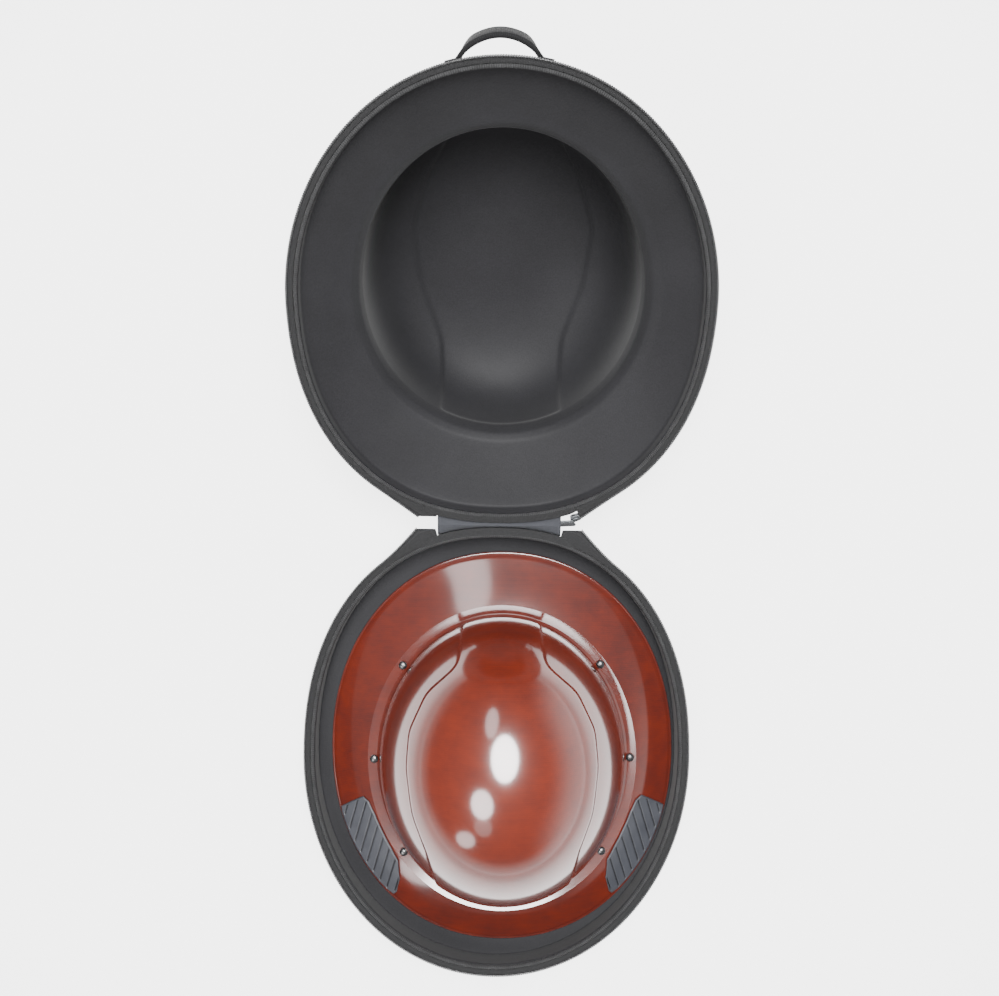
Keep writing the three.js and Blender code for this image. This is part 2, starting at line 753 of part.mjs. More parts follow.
// The lid is modelled closed, and then swung open about the hinge line.
function buildLid() {
  const shell = lidShell();
  const swing = new THREE.Group();
  swing.position.set(0, hingeY, baseHeight);
  swing.rotation.x = restingTilt(shell) - Math.PI;
  const lid = new THREE.Group();
  lid.position.y = -hingeY;
  const sliderBody = plate(sliderLength, sliderWidth, sliderHeight, sliderClip);
  const slider = piece("zip_slider", sliderBody, "slider");
  const end = stationAcross(zipEndAcross);
  const zipEnd = stationPoint(end, coilMiddle - zipFlare);
  const onward = stationPoint(end + 0.01, coilMiddle - zipFlare).sub(zipEnd).normalize();
  const sliderAt = zipEnd.addScaledVector(onward, seatGap + sliderLength / 2);
  slider.position.set(sliderAt.x, sliderAt.y, partingGap + pullThickness + seatGap);
  slider.rotation.z = onward.angle();
  const pull = piece("zip_pull", plate(pullLength, pullWidth, pullThickness, pullClip), "slider");
  const pullY = hingeY + pullOverhang - pullWidth / 2;
  pull.position.set(hingeAcross + seatGap + pullLength / 2, pullY, partingGap);
  pull.rotation.z = THREE.MathUtils.degToRad(pullSwing);
  lid.add(
    piece("lid_shell", shell, "foam"),
    piece("lid_binding", rimBinding(), "binding"),
    piece("lid_zip", zipHalf(), "zip"),
    piece("hinge_leaf_lid", hingeLeaf(lidWallSlope), "cloth"),
    piece("handle", handleLoop(), "webbing"),
    slider,
    pull,
  );
  swing.add(lid);
  return swing;
}

function buildHat() {
  const hat = new THREE.Group();
  hat.position.set(hatShiftX, hatShiftY, baseHeight - ledgeDepth + seatGap);
  hat.rotation.z = THREE.MathUtils.degToRad(hatYaw);
  hat.add(
    piece("hat_shell", hatShell(), "hat"),
    piece("hat_grip_left", grip(-1), "grip"),
    piece("hat_grip_right", grip(1), "grip"),
  );
  rivetAngles.forEach((angle, i) => {
    const mesh = piece(`hat_rivet_${i + 1}`, rivet(), "rivet");
    mesh.position.copy(rivetPlace(angle));
    hat.add(mesh);
  });
  return hat;
}

const hardHatCase = new THREE.Group();
hardHatCase.add(buildBase(), buildLid(), buildHat());

export default hardHatCase;
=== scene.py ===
"""A moulded foam case lying open with a full-brim hard hat in its base, dressed over its CAD frame.

Metres, +Z up, +Y towards the hinge and the lid. Both halves of the case are drawn closed, with
depths measured from the plane where they meet, and the lid is then swung open.
"""

import json
import math

import bmesh
import bpy
import numpy as np
from mathutils import Matrix, Vector


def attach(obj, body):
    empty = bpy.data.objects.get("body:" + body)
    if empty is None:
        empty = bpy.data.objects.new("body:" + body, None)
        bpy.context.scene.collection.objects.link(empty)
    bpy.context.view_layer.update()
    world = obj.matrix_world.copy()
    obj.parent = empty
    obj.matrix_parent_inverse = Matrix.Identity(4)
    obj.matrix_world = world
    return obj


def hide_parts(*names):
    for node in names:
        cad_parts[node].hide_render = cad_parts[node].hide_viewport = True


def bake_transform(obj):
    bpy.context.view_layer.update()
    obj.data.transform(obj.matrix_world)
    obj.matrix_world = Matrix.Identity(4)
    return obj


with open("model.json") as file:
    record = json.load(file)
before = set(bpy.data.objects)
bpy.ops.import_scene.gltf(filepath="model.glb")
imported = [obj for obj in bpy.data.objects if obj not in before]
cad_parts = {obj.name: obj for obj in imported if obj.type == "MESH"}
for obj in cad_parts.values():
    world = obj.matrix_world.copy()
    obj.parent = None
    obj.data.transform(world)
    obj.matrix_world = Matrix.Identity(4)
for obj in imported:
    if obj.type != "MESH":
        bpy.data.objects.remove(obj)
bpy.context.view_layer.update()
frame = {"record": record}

bl_info = {
    "name": "Hard Hat Case",
    "version": (1, 0, 0),
    "blender": (4, 5, 0),
    "location": "3D View > Sidebar > Hard Hat Case",
    "description": "Dresses an open foam case and the hard hat in it, piece by piece",
    "category": "Add Mesh",
}

MM = 0.001

# Soft boxes over the hat: direction, width, height and brightness, all at one distance
BOX_DISTANCE = 3.0
BOX_TARGET = (0.0, 0.0, 0.12)
SOFT_BOXES = (
    ("overhead", (0.05, 0.262, 1.0), 1.6, 2.1, 58.0),
    ("second", (-0.412, -0.47, 1.0), 1.2, 1.3, 24.0),
    ("third", (-0.45, -1.0, 1.0), 0.9, 0.9, 2.5),
    ("behind", (-0.27, 0.96, 1.0), 0.7, 1.3, 8.0),
    ("front_left", (-0.55, -0.85, 0.4), 0.9, 0.7, 9.0),
)

# Pale walls that fade upwards: axis, where the glow starts and is full, its top and brightness
WALLS = (
    ("X", 0.35, 0.95, 0.7, 2.6),
    ("X", -0.5, -0.98, 0.2, 0.8),
    ("Y", -0.3, -0.95, 0.25, 1.6),
)

# The camera, fitted to the photographed view
CAMERA_PLACE = (0, 0.2096, 1.016)
CAMERA_LENS = 42.81
CAMERA_ROLL = math.radians(0.7)

# The floor: its reach, the middle of its glow along Y, and where the glow starts and ends to fade
FLOOR_REACH = 6.0
FLOOR_MIDDLE = 0.2
FLOOR_FADE = (0.45, 1.2)

# Texture pitches, and the wave texture's scale for bands one metre apart
PIPING_RIBS = 1.6 * MM
HAT_WEAVE = 1.5 * MM
WAVE_SCALE = math.tau / 20
RANGE_SOCKETS = ("From Min", "From Max", "To Min", "To Max")

# Shapes that are not meant to be changed one by one
SEAT_GAP = 0.3 * MM
PARTING_GAP = 0.2 * MM
FOAM_WALL = 5 * MM
BAND_WALL = 4.5 * MM
BASE_WALL_SLOPE = 0.12
HINGE_SQUARENESS = 2.23
FRONT_SQUARENESS = 2.02
BRIM_SQUARENESS = 2.1
CROWN_TAPER = 1.1
GUTTER_LOW = -0.6
DOME_SQUARENESS = 3.22
OUTER_RELIEF_SHARE = 0.2
GROOVE_PITCH = 7.3 * MM
GROOVE_TURN = math.radians(17)
RIVET_ANGLES = (-39.5, 0, 39.5, 140.5, 180, 219.5)

# How far the band's rise beside the hinge takes, and how much further the ends of the base's zip
# stand off than the lid's
BAND_STEP = 6 * MM
BASE_ZIP_FLARE = 4 * MM

# The crown's raised panel: shares of the crown's half length and half width
CROWN_PANEL = (
    (1.1, 0.3),
    (0.74, 0.33),
    (0.56, 0.57),
    (0.32, 0.7),
    (0.09, 0.72),
    (-0.21, 0.675),
    (-0.47, 0.57),
    (-0.7, 0.53),
    (-1.1, 0.51),
)

# The panel pressed into the lid's dome, in shares of the dome's half sizes
DOME_PANEL = (
    (1.1, 0.44),
    (0.6, 0.47),
    (0.2, 0.62),
    (-0.2, 0.67),
    (-0.55, 0.55),
    (-0.8, 0.4),
    (-1.1, 0.36),
)

# The grips: where each row begins and ends across the brim, as shares of it, and its angles there
GRIP_ROWS = (
    (0.78, 0.88, 40, 40),
    (0.42, 0.93, 43, 43),
    (0.1, 0.95, 49, 49),
    (0.05, 0.96, 55, 55),
    (0.04, 0.97, 62, 61),
    (0.06, 0.97, 69, 67),
    (0.12, 0.97, 74, 71.5),
    (0.25, 0.96, 76, 73),
)


def length(name, description, default):
    """A size in metres that a user can change."""
    return bpy.props.FloatProperty(
        name=name,
        description=description,
        default=default * MM,
        min=0.0,
        precision=4,
        subtype="DISTANCE",
        unit="LENGTH",
    )


def colour(name, description, default):
    """A finish's colour."""
    return bpy.props.FloatVectorProperty(
        name=name,
        description=description,
        default=default,
        min=0.0,
        max=1.0,
        subtype="COLOR",
        size=3,
    )


class HatSizes(bpy.types.PropertyGroup):
    """Sizes of the hard hat and its place in the case."""

    brim_half_width: length("Brim Half Width", "From the middle to the brim's side", 142.4)
    brim_half_length: length("Brim Half Length", "From the middle to the brim's end", 162.4)
    brim_thickness: length("Brim Thickness", "Thickness of the brim", 3)
    brim_rise: length("Brim Rise", "From the brim's edge up to the gutter", 17.5)
    gutter_half_width: length("Gutter Half Width", "Half width of the gutter's ring", 105.5)
    gutter_half_length: length("Gutter Half Length", "Half length of the gutter's ring", 121)
    gutter_half_span: length("Gutter Half Span", "From the gutter's middle to its side", 5)
    gutter_drop: length("Gutter Drop", "Depth of the gutter", 1.6)
    crown_setback: length("Crown Setback", "How far the crown lies from the middle", 7)
    crown_rise: length("Crown Rise", "From the gutter to the top of the crown", 118)
    wall: length("Wall", "Thickness of the hat's wall", 2.8)
    panel_relief: length("Panel Relief", "How far the crown's panel stands out", 1.5)
    rivet_radius: length("Rivet Radius", "Radius of a rivet's head", 3.4)
    rivet_height: length("Rivet Height", "Height of a rivet's head", 1.6)
    grip_thickness: length("Grip Thickness", "Thickness of the rubber grips", 1.8)
    shift_x: length("Shift Across", "How far the hat lies to the right", 4.6)
    shift_y: length("Shift Along", "How far the hat lies towards the hinge", 2.2)
    yaw: bpy.props.FloatProperty(
        name="Turn",
        description="How far the hat is turned in the case",
        default=math.radians(1),
        subtype="ANGLE",
        unit="ROTATION",
    )


class CaseSizes(bpy.types.PropertyGroup):
    """Sizes of the two foam halves."""

    half_width: length("Half Width", "From the middle to the side of the rim", 159)
    hinge_reach: length("Hinge Reach", "From the middle to the rim beside the hinge", 186.8)
    front_reach: length("Front Reach", "From the middle to the rim at the front", 183.8)
    hinge_gap: length("Hinge Gap", "From each rim to the hinge line", 0.3)
    ledge_inset: length("Ledge Inset", "From the rim's outline to the ledge", 9.6)
    ledge_depth: length("Ledge Depth", "From the parting plane to the ledge", 27.3)
    ledge_width: length("Ledge Width", "Width of the ledge under the brim", 24)
    pan_depth: length("Pan Depth", "From the ledge to the pan's floor", 10.7)
    pan_slope: length("Pan Slope", "How far the pan's wall leans in", 9)
    band_inset: length("Band Inset", "From the outline to the lid's sloped band", 10.5)
    band_top: length("Band Top", "Depth of the band's upper edge", 11)
    mouth_depth: length("Mouth Depth", "Depth of the dome's mouth", 28)
    mouth_fillet: length("Mouth Fillet", "Rounding of the dome's mouth", 14)
    mouth_lip: length("Mouth Lip", "How far the band rises beside the mouth", 0.4)
    mouth_half_width: length("Mouth Half Width", "Half width of the dome's mouth", 106.5)
    mouth_hinge_reach: length("Mouth Hinge Reach", "Half length towards the hinge", 118.7)
    mouth_front_reach: length("Mouth Front Reach", "Half length towards the handle", 124.3)
    dome_depth: length("Dome Depth", "From the parting plane to the dome's top", 118)
    dome_relief: length("Dome Relief", "How far the dome's panel is pressed out", 1.6)


class TrimSizes(bpy.types.PropertyGroup):
    """Sizes of the zip, the bindings, the hinge cloth, the handle and the slider."""

    coil_inset: length("Coil Inset", "From the outline to the zip's coil", 0.3)
    coil_width: length("Coil Width", "Width of the zip's coil", 2.6)
    coil_height: length("Coil Height", "Height of the zip's coil", 2.2)
    coil_pitch: length("Coil Pitch", "From one tooth of the coil to the next", 1.7)
    tape_reach: length("Tape Reach", "From the outline to the tape's inner edge", 6.3)
    tape_thickness: length("Tape Thickness", "Thickness of the zip's tape", 0.9)
    zip_end: length("Zip End", "How far from the middle each zip ends", 64)
    zip_flare_start: length("Zip Flare Start", "Where the zip leaves the shell", 98)
    zip_flare: length("Zip Flare", "How far the zip's ends stand off", 6.8)
    shell_inset: length("Shell Inset", "From the outline to the foam's outer wall", 1.6)
    rim_wall: length("Rim Wall", "Thickness of the foam under the binding", 8)
    binding_thickness: length("Binding Thickness", "Thickness of the binding's band", 1)
    piping_width: length("Piping Width", "Width of the binding's piping", 2.8)
    piping_top: length("Piping Top", "From the parting plane to the piping", 0.6)
    hinge_across: length("Hinge Half Width", "Half width of the hinge cloth", 50)
    hinge_cloth: length("Hinge Cloth", "Thickness of the hinge cloth", 0.8)
    hinge_leaf_depth: length("Hinge Leaf Depth", "How far the cloth runs down the walls", 18)
    handle_offset: length("Handle Offset", "How far the handle sits off the middle", 3.5)
    handle_across: length("Handle Half Width", "From its middle to the loop's foot", 28)
    handle_foot: length("Handle Foot", "Length of each sewn foot", 8)
    handle_top: length("Handle Top", "From the parting plane to the webbing", 10.3)
    handle_rise: length("Handle Rise", "How far the loop stands out", 10.5)
    handle_width: length("Handle Width", "Width of the webbing", 14)
    handle_thickness: length("Handle Thickness", "Thickness of both layers", 4.4)
    slider_length: length("Slider Length", "Length of the zip's slider", 8)
    slider_width: length("Slider Width", "Width of the zip's slider", 6)
    slider_height: length("Slider Height", "Height of the zip's slider", 4.6)
    pull_length: length("Pull Length", "Length of the slider's pull", 12.6)
    pull_width: length("Pull Width", "Width of the slider's pull", 5.4)
    pull_thickness: length("Pull Thickness", "Thickness of the slider's pull", 1.6)
    pull_overhang: length("Pull Overhang", "How far the pull passes the hinge line", 0.6)


class CaseColours(bpy.types.PropertyGroup):
    """Colours of the finishes."""

    foam: colour("Foam Cloth", "The cloth on both halves", (0.0078, 0.0077, 0.0086))
    binding: colour("Piping", "The ribbed piping on both rims", (0.017, 0.017, 0.0175))
    tape: colour("Tape", "The woven tape and the binding's band", (0.013, 0.013, 0.0135))
    coil: colour("Zip Coil", "The zip's nylon coil", (0.007, 0.007, 0.0075))
    hinge: colour("Hinge Cloth", "The cloth across the hinge", (0.024, 0.025, 0.029))
    webbing: colour("Webbing", "The handle's webbing", (0.005, 0.005, 0.0054))
    metal: colour("Slider Metal", "The slider and its pull", (0.09, 0.095, 0.1))
    hat: colour("Hat Shell", "The hat's lacquered shell", (0.058, 0.0068, 0.0025))
    grip: colour("Grip Rubber", "The brim's rubber grips", (0.018, 0.019, 0.023))
    rivet: colour("Rivet Plastic", "The rivets' heads", (0.007, 0.007, 0.0075))
    floor: colour("Floor", "The floor the case lies on", (0.22, 0.22, 0.22))


# Outlines and profiles


def signed_power(value, exponent):
    return np.sign(value) * np.abs(value) ** exponent


def smoothed(share):
    share = np.clip(share, 0.0, 1.0)
    return share * share * (3.0 - 2.0 * share)


def blended(start, end, share):
    return start + (end - start) * share


def outline_points(outline, angles, inset=0.0):
    """Points of a rounded outline at angles from +X, moved inwards along its normals."""
    side, hinge, front, hinge_square, front_square = outline
    cosine = np.cos(angles)
    sine = np.sin(angles)
    reach = np.where(sine >= 0, hinge, front)
    square = np.where(sine >= 0, hinge_square, front_square)
    x = side * signed_power(cosine, 2 / square)
    y = reach * signed_power(sine, 2 / square)
    slope_x = signed_power(x / side, square - 1) / side
    slope_y = signed_power(y / reach, square - 1) / reach
    slope = np.hypot(slope_x, slope_y)
    return np.stack([x - slope_x / slope * inset, y - slope_y / slope * inset], axis=-1)


def even_angles(outline, count, start=0.0, end=2 * math.pi, closed=True):
    """Angles whose points lie evenly along an outline."""
    dense = np.linspace(start, end, 8001)
    points = outline_points(outline, dense)
    steps = np.hypot(*np.diff(points, axis=0).T)
    lengths = np.concatenate([[0.0], np.cumsum(steps)])
    wanted = np.linspace(0.0, lengths[-1], count, endpoint=not closed)
    return np.interp(wanted, lengths, dense)


def level(points, depth):
    """Points in the plane laid at one depth, or each at its own."""
    return np.column_stack([points, np.broadcast_to(depth, len(points))])


def filleted(loops, reach, steps=4):
    """Rounds every inner corner of the columns that run through a stack of loops."""
    rows = [loops[0]]
    for before, here, after in zip(loops, loops[1:], loops[2:]):
        back = before - here
        ahead = after - here
        back_length = np.linalg.norm(back, axis=1, keepdims=True)
        ahead_length = np.linalg.norm(ahead, axis=1, keepdims=True)
        start = here + back * np.minimum(0.49, reach / back_length)
        end = here + ahead * np.minimum(0.49, reach / ahead_length)
        for step in range(steps + 1):
            share = step / steps
            near = start + (here - start) * share
            far = here + (end - here) * share
            rows.append(near + (far - near) * share)
    rows.append(loops[-1])
    return rows


def refined(loops, longest):
    """Adds loops where two of them lie further apart than the longest step."""
    rows = [loops[0]]
    for before, after in zip(loops, loops[1:]):
        gap = np.linalg.norm(after - before, axis=1).max()
        count = max(1, math.ceil(gap / longest))
        for step in range(1, count + 1):
            rows.append(blended(before, after, step / count))
    return rows


def panel_mask(points, table, half_width, hinge_reach, front_reach, edge):
    """1 inside a panel's table and 0 outside it, with a soft edge."""
    x = np.abs(points[..., 0])
    y = points[..., 1]
    along = np.where(y > 0, y / hinge_reach, y / front_reach)
    rows = sorted(table)
    at = np.array([row[0] for row in rows])
    across = np.array([row[1] for row in rows])
    dense = np.linspace(at[0], at[-1], 241)
    widths = np.interp(dense, at, across)
    kernel = np.hanning(19)
    padded = np.pad(widths, 9, mode="edge")
    widths = np.convolve(padded, kernel / kernel.sum(), mode="valid")
    width = np.interp(along, dense, widths) * half_width
    slope = np.interp(along, dense, np.gradient(widths, dense)) * half_width / hinge_reach
    distance = (width - x) / np.sqrt(1 + slope * slope)
    return smoothed(0.5 + distance / edge)


# Places of the case's parts


def case_outline(case):
    return (
        case.half_width,
        case.hinge_reach,
        case.front_reach,
        HINGE_SQUARENESS,
        FRONT_SQUARENESS,
    )


def mouth_outline(case, growth=0.0):
    return (
        case.mouth_half_width + growth,
        case.mouth_hinge_reach + growth,
        case.mouth_front_reach + growth,
        2.0,
        2.0,
    )


def base_height(case):
    return case.ledge_depth + case.pan_depth + FOAM_WALL


def in_base(case, points):
    """Turns points with depths into points of the base."""
    placed = np.array(points, dtype=float)
    placed[..., 2] = base_height(case) - placed[..., 2]
    return placed


def lid_tilt():
    """How far the resting lid's rim stands above level, from the hinge's range."""
    joint = frame["record"]["behaviour"]["joints"][0]
    return math.radians(180 - joint["range_deg"][1])


def in_lid(case, points):
    """Turns points with depths into points of the opened lid."""
    points = np.array(points, dtype=float)
    tilt = lid_tilt()
    hinge_y = case.hinge_reach + case.hinge_gap
    reach = hinge_y - points[..., 1]
    depth = points[..., 2]
    y = hinge_y + math.cos(tilt) * reach + math.sin(tilt) * depth
    z = base_height(case) + math.sin(tilt) * reach - math.cos(tilt) * depth
    return np.stack([points[..., 0], y, z], axis=-1)


def in_hat(hat, case, points):
    """Turns points of the hat's own drawing into points of the hat in the base."""
    points = np.array(points, dtype=float)
    cosine = math.cos(hat.yaw)
    sine = math.sin(hat.yaw)
    x = points[..., 0] * cosine - points[..., 1] * sine + hat.shift_x
    y = points[..., 0] * sine + points[..., 1] * cosine + hat.shift_y
    z = points[..., 2] + base_height(case) - case.ledge_depth + SEAT_GAP
    return np.stack([x, y, z], axis=-1)


def coil_foot(trim):
    return PARTING_GAP + trim.coil_height


def binding_foot(trim):
    return coil_foot(trim) + SEAT_GAP + trim.binding_thickness


def rim_depth(trim):
    return binding_foot(trim) + SEAT_GAP


def lid_wall(case, trim):
    """How far the lid's outer wall leans in for each metre down, from the rim to the band's foot."""
    foot = case.band_top + BAND_WALL
    inset = case.band_inset - BAND_WALL
    return (inset - trim.shell_inset) / (foot - rim_depth(trim))


# Meshes


def path_lengths(points, closed):
    """Lengths along a row of points, from zero."""
    row = np.vstack([points, points[:1]]) if closed else points
    steps = np.linalg.norm(np.diff(row, axis=0), axis=1)
    return np.concatenate([[0.0], np.cumsum(steps)])


def gridded(points, wrap_rows=False, wrap_columns=True, ends=False):
    """Faces and texture places, in metres, over rows and columns of points."""
    points = np.asarray(points, dtype=float)
    rows, columns = points.shape[:2]
    row_count = rows if wrap_rows else rows - 1
    column_count = columns if wrap_columns else columns - 1
    row, column = np.meshgrid(np.arange(row_count), np.arange(column_count), indexing="ij")
    row = row.ravel()
    column = column.ravel()
    corners = ((row, column), (row, column + 1), (row + 1, column + 1), (row + 1, column))
    faces = [(at % rows) * columns + to % columns for at, to in corners]
    widest = np.argmax([np.abs(line[:, 0]).max() for line in points])
    along = path_lengths(points[widest], wrap_columns)
    across = path_lengths(points[:, 0], wrap_rows)
    places = [np.column_stack([along[to], across[at]]) for at, to in corners]
    faces = np.stack(faces, axis=1).tolist()
    places = np.stack(places, axis=1).reshape(-1, 2)
    vertices = points.reshape(-1, 3).tolist()
    if ends:
        first = len(vertices)
        vertices.append(points[0].mean(axis=0).tolist())
        vertices.append(points[-1].mean(axis=0).tolist())
        last = (rows - 1) * columns
        for at in range(columns):
            after = (at + 1) % columns
            faces.append([first, after, at])
            faces.append([first + 1, last + at, last + after])
        places = np.vstack([places, np.zeros((6 * columns, 2))])
    return vertices, faces, places


def make_mesh(name, vertices, faces, places=None, sharp=None):
    """A closed, smooth mesh object, with edges kept sharp above an angle."""
    mesh = bpy.data.meshes.new(name)
    mesh.from_pydata(vertices, [], faces)
    if places is not None:
        layer = mesh.uv_layers.new(name="UVMap")
        layer.data.foreach_set("uv", np.asarray(places, dtype=np.float32).ravel())
    solid = bmesh.new()
    solid.from_mesh(mesh)
    bmesh.ops.recalc_face_normals(solid, faces=solid.faces)
    solid.to_mesh(mesh)
    solid.free()
    mesh.shade_smooth()
    if sharp is not None:
        mesh.set_sharp_from_angle(angle=math.radians(sharp))
    piece = bpy.data.objects.new(name, mesh)
    bpy.context.scene.collection.objects.link(piece)
    return piece


def joined(parts):
    """Several drawings of faces as one."""
    vertices = []
    faces = []
    places = []
    for part_vertices, part_faces, part_places in parts:
        start = len(vertices)
        vertices.extend(part_vertices)
        faces.extend([[start + at for at in face] for face in part_faces])
        places.append(part_places)
    return vertices, faces, np.vstack(places)


def dress(piece, material, body=None, nodes=()):
    """Gives a piece its finish, its body and the nodes it stands for."""
    piece.data.materials.append(material)
    if body:
        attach(piece, body)
    if nodes:
        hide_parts(*nodes)
    return piece


# Finishes


class Finish:
    """A material's node tree, with short ways to add to it."""

    def __init__(self, name, roughness, settings=None):
        self.material = bpy.data.materials.new(name)
        self.material.use_nodes = True
        self.tree = self.material.node_tree
        self.shader = self.tree.nodes["Principled BSDF"]
        self.shader.inputs["Roughness"].default_value = roughness
        for socket, value in (settings or {}).items():
            self.shader.inputs[socket].default_value = value
        self.height = None

    def node(self, kind, **settings):
        made = self.tree.nodes.new(kind)
        for key, value in settings.items():
            if hasattr(made, key):
                setattr(made, key, value)
            else:
                made.inputs[key.replace("_", " ").title()].default_value = value
        return made

    def link(self, source, target):
        self.tree.links.new(source, target)

    def split(self, place):
        """A place's numbers along X, Y and Z."""
        made = self.node("ShaderNodeSeparateXYZ")
        self.link(place, made.inputs["Vector"])
        return made.outputs

    def mixed(self, *weighted):
        """The sum of several values, each times its weight."""
        total = 0.0
        for value, weight in weighted:
            total = self.math("ADD", total, self.math("MULTIPLY", value, weight))
        return total

    def place(self, source="Object", scale=(1, 1, 1)):
        coordinates = self.node("ShaderNodeTexCoord")
        mapping = self.node("ShaderNodeMapping")
        mapping.inputs["Scale"].default_value = scale
        self.link(coordinates.outputs[source], mapping.inputs["Vector"])
        return mapping.outputs["Vector"]

    def noise(self, place, scale, detail=3.0, roughness=0.5):
        made = self.node("ShaderNodeTexNoise", scale=scale, detail=detail, roughness=roughness)
        self.link(place, made.inputs["Vector"])
        return made.outputs["Fac"]

    def wave(self, place, pitch, direction="X", distortion=0.0, detail_scale=1.0):
        """Bands that follow each other at a pitch in metres."""
        made = self.node("ShaderNodeTexWave", bands_direction=direction)
        made.inputs["Scale"].default_value = WAVE_SCALE / pitch
        made.inputs["Distortion"].default_value = distortion
        made.inputs["Detail Scale"].default_value = detail_scale
        self.link(place, made.inputs["Vector"])
        return made.outputs["Fac"]

    def math(self, operation, first, second):
        made = self.node("ShaderNodeMath", operation=operation)
        for socket, value in zip(made.inputs, (first, second)):
            if isinstance(value, (int, float)):
                socket.default_value = value
            else:
                self.link(value, socket)
        return made.outputs["Value"]

    def ranged(self, value, low, high, start=0.0, end=1.0):
        made = self.node("ShaderNodeMapRange")
        for socket, number in zip(RANGE_SOCKETS, (start, end, low, high)):
            made.inputs[socket].default_value = number
        self.link(value, made.inputs["Value"])
        return made.outputs["Result"]

    def colour_by(self, share, first, second):
        """Lets the base colour run from one colour to another."""
        mix = self.node("ShaderNodeMix", data_type="RGBA")
        self.link(share, mix.inputs["Factor"])
        mix.inputs[6].default_value = (*first, 1)
        mix.inputs[7].default_value = (*second, 1)
        self.link(mix.outputs[2], self.shader.inputs["Base Color"])

    def roughness_by(self, value, low, high):
        self.link(self.ranged(value, low, high), self.shader.inputs["Roughness"])

    def bump(self, height, distance, strength):
        made = self.node("ShaderNodeBump", distance=distance, strength=strength)
        self.link(height, made.inputs["Height"])
        if self.height is not None:
            self.link(self.height, made.inputs["Normal"])
        self.height = made.outputs["Normal"]
        self.link(self.height, self.shader.inputs["Normal"])


def shade(tint, factor):
    return tuple(min(1.0, channel * factor) for channel in tint)


def foam_finish(name, tint, roughness, gloss):
    """Smooth knitted cloth pressed over foam, a little mottled."""
    settings = {"Sheen Weight": 0.05, "Sheen Roughness": 0.5, "Specular IOR Level": gloss}
    finish = Finish(name, roughness, settings)
    place = finish.place()
    knit = finish.noise(place, 900, 2.0, 0.6)
    mottle = finish.noise(place, 14, 4.0, 0.55)
    share = finish.mixed((knit, 0.55), (mottle, 0.45))
    finish.colour_by(finish.ranged(share, 0, 1, 0.3, 0.7), shade(tint, 0.72), shade(tint, 1.32))
    finish.bump(knit, 0.25 * MM, 0.5)
    finish.bump(finish.noise(place, 60, 2.0), 0.6 * MM, 0.25)
    return finish.material


def piping_finish(tint):
    """Ribbed piping, with painted highlight on its ribs and painted shade between them, and worn in
    patches.
    """
    finish = Finish("ribbed piping", 0.9, {"Sheen Weight": 0.05, "Specular IOR Level": 0.1})
    place = finish.place("UV")
    ribs = finish.wave(place, PIPING_RIBS, "X", 1.6, 3.0)
    fuzz = finish.noise(place, 700, 3.0, 0.6)
    patches = finish.noise(place, 60, 4.0, 0.6)
    # The ribs also lighten the colour: painted highlight on each rib, painted shade between them.
    share = finish.mixed((ribs, 0.3), (fuzz, 0.3), (patches, 0.5))
    finish.colour_by(finish.ranged(share, 0, 1, 0.35, 0.8), shade(tint, 0.45), shade(tint, 1.5))
    finish.bump(ribs, 0.3 * MM, 0.6)
    finish.bump(fuzz, 0.2 * MM, 0.5)
    return finish.material


def woven_finish(name, tint, pitch, contrast=0.65, roughness=0.85):
    """A plain weave: threads over and under in both directions."""
    finish = Finish(name, roughness, {"Sheen Weight": 0.05, "Specular IOR Level": 0.12})
    place = finish.place("UV")
    warp = finish.wave(place, pitch, "X", 0.6, 2.0)
    weft = finish.wave(place, pitch, "Y", 0.6, 2.0)
    weave = finish.math("MULTIPLY", warp, weft)
    fuzz = finish.noise(place, 500, 3.0, 0.6)
    share = finish.mixed((weave, 0.6), (fuzz, 0.4))
    finish.colour_by(share, shade(tint, 1 - contrast), shade(tint, 1 + contrast))
    finish.bump(weave, 0.35 * MM, 0.8)
    return finish.material


def coil_finish(tint):
    finish = Finish("nylon coil", 0.38, {"Coat Weight": 0.1})
    grime = finish.noise(finish.place(), 300, 3.0)
    finish.colour_by(grime, shade(tint, 0.6), shade(tint, 1.8))
    finish.roughness_by(grime, 0.3, 0.5)
    return finish.material


def metal_finish(tint):
    finish = Finish("slider metal", 0.4, {"Metallic": 0.85})
    place = finish.place()
    scuffs = finish.noise(place, 260, 4.0, 0.65)
    finish.colour_by(scuffs, shade(tint, 0.7), shade(tint, 1.3))
    finish.roughness_by(scuffs, 0.3, 0.52)
    finish.bump(scuffs, 0.05 * MM, 0.4)
    return finish.material


def hat_finish(tint):
    """Clear lacquer over a mottled shell with a fine weave across it, with painted shade that darkens it
    lower down towards the brim.
    """
    settings = {"Coat Weight": 1.0, "Coat Roughness": 0.12, "Coat IOR": 1.65, "Specular IOR Level": 0.12}
    finish = Finish("lacquered shell", 0.32, settings)
    # The darker end of the colour, used low down on the brim, is painted shade.
    brim = (tint[0] * 0.5, tint[1] * 0.85, tint[2] * 1.9)
    place = finish.place()
    weave = finish.wave(place, HAT_WEAVE, "Y", 0.7, 2.0)
    grain = finish.noise(finish.place("Object", (22, 420, 260)), 1.0, 4.0, 0.6)
    mottle = finish.noise(place, 55, 6.0, 0.68)
    clouds = finish.noise(place, 14, 3.0, 0.5)
    # Painted shade: the colour grows lighter with height, darker on the brim and brighter on the crown.
    height = finish.ranged(finish.split(place)["Z"], 0, 1, 0.04, 0.15)
    share = finish.mixed((mottle, 1.0), (weave, 0.14), (grain, 0.6), (clouds, 0.45), (height, 0.42))
    finish.colour_by(finish.ranged(share, 0, 1, 0.72, 1.75), brim, shade(tint, 1.3))
    finish.bump(grain, 0.02 * MM, 0.2)
    return finish.material


